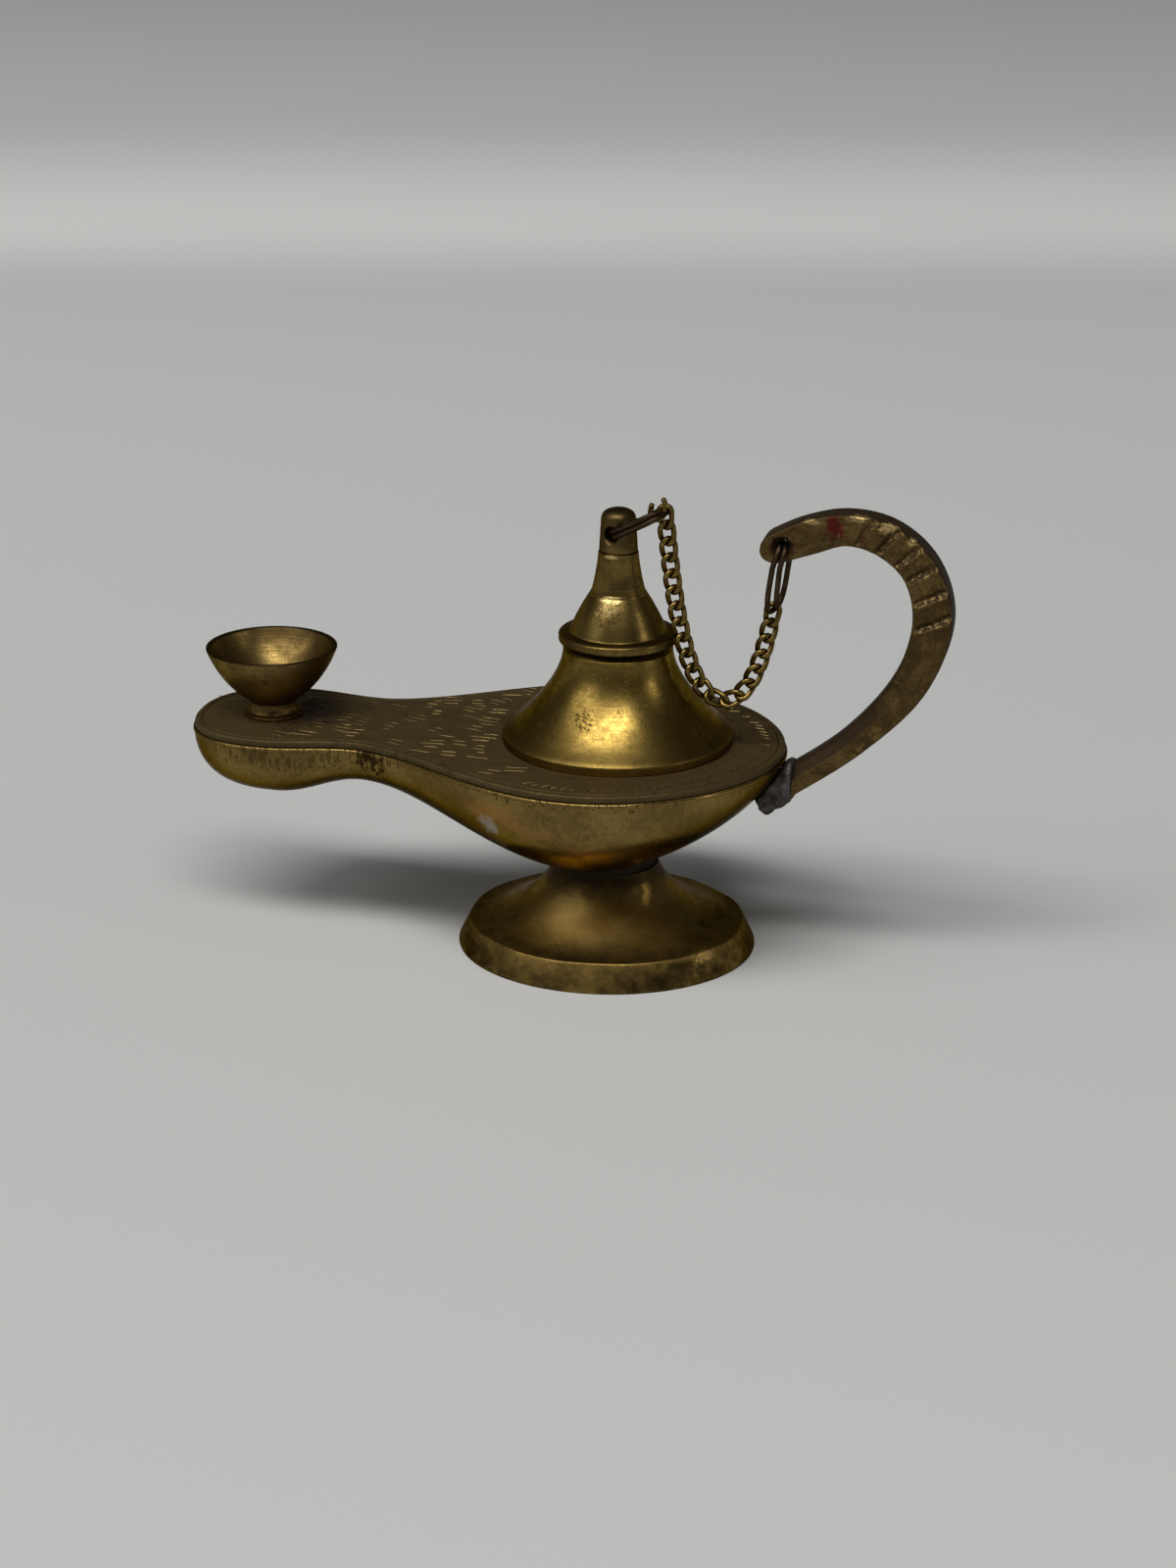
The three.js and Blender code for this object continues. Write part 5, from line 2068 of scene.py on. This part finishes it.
NECK_BRASS = Finish(
    "neck_brass", (0.29, 0.196, 0.049), (0.145, 0.095, 0.023), (0.07, 0.043, 0.013), gloss=(0.26, 0.34), tarnish=0.45,
    patch=10.0, grain=Grain.TURNED, marks=0.22, wear=0.4, bump=0.06, stains_and_painted_light=(
        StainOrPaintedLight((AXIS_X, 0.0, DECK_Z + 2.5), (60.0, 60.0, 2.1), (0.07, 0.046, 0.013), 0.7, 0.25, 200.0,
              rough=0.45, soft=0.8),
        StainOrPaintedLight((AXIS_X - 3.1, -15.0, DECK_Z + 7.8), (1.5, 6.0, 1.3), (0.025, 0.015, 0.005), 0.8, 3.0, 3000.0,
              soft=0.3, drawn=(0.6, 0.6, 1.0), least=0.95),
        StainOrPaintedLight((AXIS_X, -16.0, DECK_Z + 6.0), (9.0, 8.0, 5.0), (0.06, 0.04, 0.012), 0.24, 3.2, 3600.0, soft=0.3,
              drawn=(0.5, 0.5, 1.0), least=1.25),
    ))
LID_BRASS = Finish(
    "lid_brass", (0.20, 0.137, 0.04), (0.092, 0.062, 0.019), (0.05, 0.032, 0.011), gloss=(0.3, 0.4), tarnish=0.55,
    patch=6.0, grain=Grain.TURNED, marks=0.3, pits=0.6, stains_and_painted_light=(
        StainOrPaintedLight((AXIS_X, 0.0, MOUTH_Z + 21.0), (7.0, 7.0, 5.2), (0.06, 0.042, 0.018), 0.75, 0.7, 420.0),
        # a worn, scratched bright patch on the cone's front, made brighter to paint the cone's soft highlight
        StainOrPaintedLight((AXIS_X - 0.4, -5.2, MOUTH_Z + 7.0), (2.8, 2.6, 2.0), (0.5, 0.37, 0.14), 0.75, 0.8, 700.0,
              rough=0.36, soft=0.8),
        # painted highlight: the bright bar just under the cone's step
        StainOrPaintedLight((AXIS_X - 0.2, -4.9, MOUTH_Z + 8.7), (2.3, 2.0, 0.75), (0.9, 0.68, 0.28), 0.9, 0.6, 1500.0, rough=0.33),
        # painted highlight: the step under the finial catching the light
        StainOrPaintedLight((AXIS_X - 0.6, -3.4, MOUTH_Z + 16.1), (1.5, 1.5, 0.45), (0.6, 0.45, 0.18), 0.85, 0.6, 1500.0,
              rough=0.33),
        StainOrPaintedLight((AXIS_X - 1.2, -5.6, MOUTH_Z + 6.4), (2.6, 2.6, 2.0), (0.03, 0.02, 0.008), 0.7, 3.0, 2600.0,
              soft=0.3, least=1.05),
    ))
FOOT_BRASS = Finish(
    "foot_brass", (0.37, 0.248, 0.068), (0.205, 0.134, 0.039), (0.055, 0.034, 0.012), gloss=(0.33, 0.43), tarnish=0.6,
    grain=Grain.TURNED, centre=(AXIS_X - 2.0, 0.0, 0.0), pits=0.4, wear=0.8, stains_and_painted_light=(
        # painted shade: the collar's darkness under the overhanging bowl
        StainOrPaintedLight((AXIS_X - 2.0, 0.0, 15.8), (22.0, 22.0, 6.5), (0.012, 0.007, 0.003), 0.93, 0.3, 220.0, metal=0.7,
              soft=0.6),
        # painted highlight: the key light's streak on the collar
        StainOrPaintedLight((16.4, -7.0, 12.6), (1.1, 2.4, 4.2), (0.66, 0.44, 0.12), 0.85, 0.9, 900.0, rough=0.33, soft=0.9),
        # painted highlight: the glow of the key light on the front of the sweep
        StainOrPaintedLight((4.5, -15.0, 8.6), (14.0, 12.0, 4.6), (0.8, 0.545, 0.17), 0.85, 0.28, 300.0, rough=0.4, soft=1.0),
        # painted light: the front-right of the sweep lit beside the bowl's shadow
        StainOrPaintedLight((19.0, -15.0, 6.4), (13.0, 11.0, 3.2), (0.42, 0.285, 0.085), 0.6, 0.4, 260.0, rough=0.45, soft=1.0),
        StainOrPaintedLight((AXIS_X - 2.0, 0.0, 0.5), (58.0, 58.0, 7.2), (0.036, 0.023, 0.008), 0.84, 0.9, 210.0, rough=0.45,
              soft=0.8),
        StainOrPaintedLight((24.0, -18.0, 1.6), (12.0, 10.0, 4.0), (0.022, 0.014, 0.005), 0.65, 1.2, 420.0, soft=0.9),
        StainOrPaintedLight((-15.0, -16.0, 2.2), (8.0, 9.0, 4.0), (0.022, 0.013, 0.005), 0.65, 1.2, 420.0, soft=0.9),
        # painted highlight: the glint on the foot's right-hand facet
        StainOrPaintedLight((28.6, -13.2, 4.4), (2.8, 2.8, 1.5), (0.62, 0.43, 0.14), 0.85, 1.6, 1500.0, rough=0.3, soft=0.7),
    ))
CUP_BRASS = Finish(
    "cup_brass", (0.25, 0.17, 0.056), (0.125, 0.082, 0.026), (0.045, 0.028, 0.011), gloss=(0.33, 0.45), tarnish=0.55,
    patch=7.0, grain=Grain.TURNED, centre=(cup_x(), 0.0, 0.0), marks=0.45, pits=0.7, wear=0.15, stains_and_painted_light=(
        StainOrPaintedLight((cup_x(), 0.0, DECK_Z + 0.6), (6.0, 6.0, 3.0), (0.05, 0.024, 0.012), 0.85, 0.6, 500.0),
        StainOrPaintedLight((cup_x(), 0.0, DECK_Z), (6.4, 6.4, 0.8), (0.012, 0.007, 0.004), 0.9, 1.2, 900.0, metal=0.7, rough=0.6),
        StainOrPaintedLight((cup_x(), 0.0, DECK_Z + 12.9), (60.0, 60.0, 0.3), (0.045, 0.03, 0.011), 0.75, 0.2, 400.0, rough=0.4),
        StainOrPaintedLight((cup_x() - 0.5, 2.0, DECK_Z + 6.0), (4.0, 4.0, 3.2), (0.03, 0.02, 0.008), 0.85, 3.0, 2200.0,
              soft=0.3, least=1.1),
    ))
HANDLE_BRASS = Finish(
    "handle_brass", (0.165, 0.108, 0.038), (0.072, 0.046, 0.017), (0.036, 0.022, 0.01), gloss=(0.36, 0.5),
    tarnish=0.6, patch=7.0, grain=Grain.HOOPED, centre=(45.0, 0.0, 62.0), marks=0.3, mark_size=0.4, pits=0.35,
    # the notch flanks that face the light get painted highlight glints
    wear=0.9, dirt=0.7, side_darkening=0.9, flank_highlight=0.9, stains_and_painted_light=(
        StainOrPaintedLight(HOOK.spot(14.2, 0.25), (1.9, 1.5, 2.6), (0.075, 0.004, 0.004), 0.95, 1.5, 1300.0, metal=0.5,
              rough=0.42),
        StainOrPaintedLight(HOOK.spot(19.0, 0.1), (0.9, 1.2, 2.4), (0.06, 0.012, 0.008), 0.6, 1.4, 1300.0, metal=0.4, rough=0.6),
        StainOrPaintedLight(HOOK.spot(4.2, 0.0), (2.8, 3.0, 2.8), (0.045, 0.02, 0.012), 0.85, 0.8, 700.0),
        # painted highlights: the outer edge catching the light beside the notches
        StainOrPaintedLight(HOOK.spot(10.5, 0.9), (2.6, 1.2, 0.6), (0.42, 0.30, 0.12), 0.8, 1.0, 1300.0, rough=0.3),
        StainOrPaintedLight(HOOK.spot(17.9, 0.85), (1.9, 1.6, 1.0), (0.50, 0.36, 0.15), 0.85, 1.6, 1300.0, rough=0.28, soft=0.7),
        StainOrPaintedLight(HOOK.spot(22.5, 0.82), (2.0, 1.6, 1.2), (0.54, 0.39, 0.16), 0.85, 1.6, 1300.0, rough=0.28, soft=0.7),
        StainOrPaintedLight(HOOK.spot(26.6, 0.85), (0.9, 1.6, 1.2), (0.50, 0.36, 0.15), 0.8, 1.6, 1300.0, rough=0.28, soft=0.7),
    ))
SOLDER_GREY = Finish(
    "solder_grey", (0.13, 0.112, 0.108), (0.05, 0.042, 0.042), (0.015, 0.011, 0.011), gloss=(0.38, 0.55),
    tarnish=0.55, patch=2.4, pits=0.7, marks=0.2, mark_size=0.5, metal=0.8, bump=0.14, stains_and_painted_light=(
        StainOrPaintedLight((AXIS_X + BoatLines().rear_x, 0.0, DECK_Z - 2.0), (1.3, 9.0, 4.5), (0.02, 0.007, 0.005), 0.85,
              0.9, 700.0, metal=0.3, rough=0.6),
    ))
WIRE_DARK = Finish(
    "wire_dark", (0.085, 0.055, 0.03), (0.034, 0.022, 0.014), (0.012, 0.008, 0.006), gloss=(0.3, 0.48), tarnish=0.65,
    patch=3.0, pits=0.2, marks=0.15, wear=0.3)
CHAIN_BRASS = Finish(
    "curb_brass", (0.24, 0.163, 0.046), (0.11, 0.073, 0.021), (0.034, 0.021, 0.008), gloss=(0.26, 0.38), tarnish=0.55,
    patch=3.0, pits=0.25, marks=0.1, wear=0.25)


def main() -> None:
    """Builds the studio and every sub-assembly."""
    logging.basicConfig(level=logging.INFO, format="%(message)s")
    Studio().build()
    Foot().build()
    Bowl().build()
    Neck().build()
    lid = Lid()
    lid.build()
    Cup().build()
    handle = Handle()
    handle.build()
    lid_place, handle_place = lid.loop_place(), handle.loop_place()
    WireLoop("lid_wire_loop", "lid_loop", lid_place, lid.loop_length, 2 * lid.finial_radius,
             turns=1.42, start=0.56, middle=1.27).build()
    WireLoop("handle_wire_loop", "handle_loop", handle_place, handle.loop_length, handle.thickness,
             turns=1.36, start=-0.34, middle=0.5, spread=0.8, twist_deg=9.0).build()
    lid_end, handle_end = (place @ Vector((length, 0.0, 0.0)) for place, length in (
        (lid_place, lid.loop_length), (handle_place, handle.loop_length)))
    Chain().build(lid_end, handle_end, lid_place, lid.loop_length)


if __name__ == "__main__":
    main()
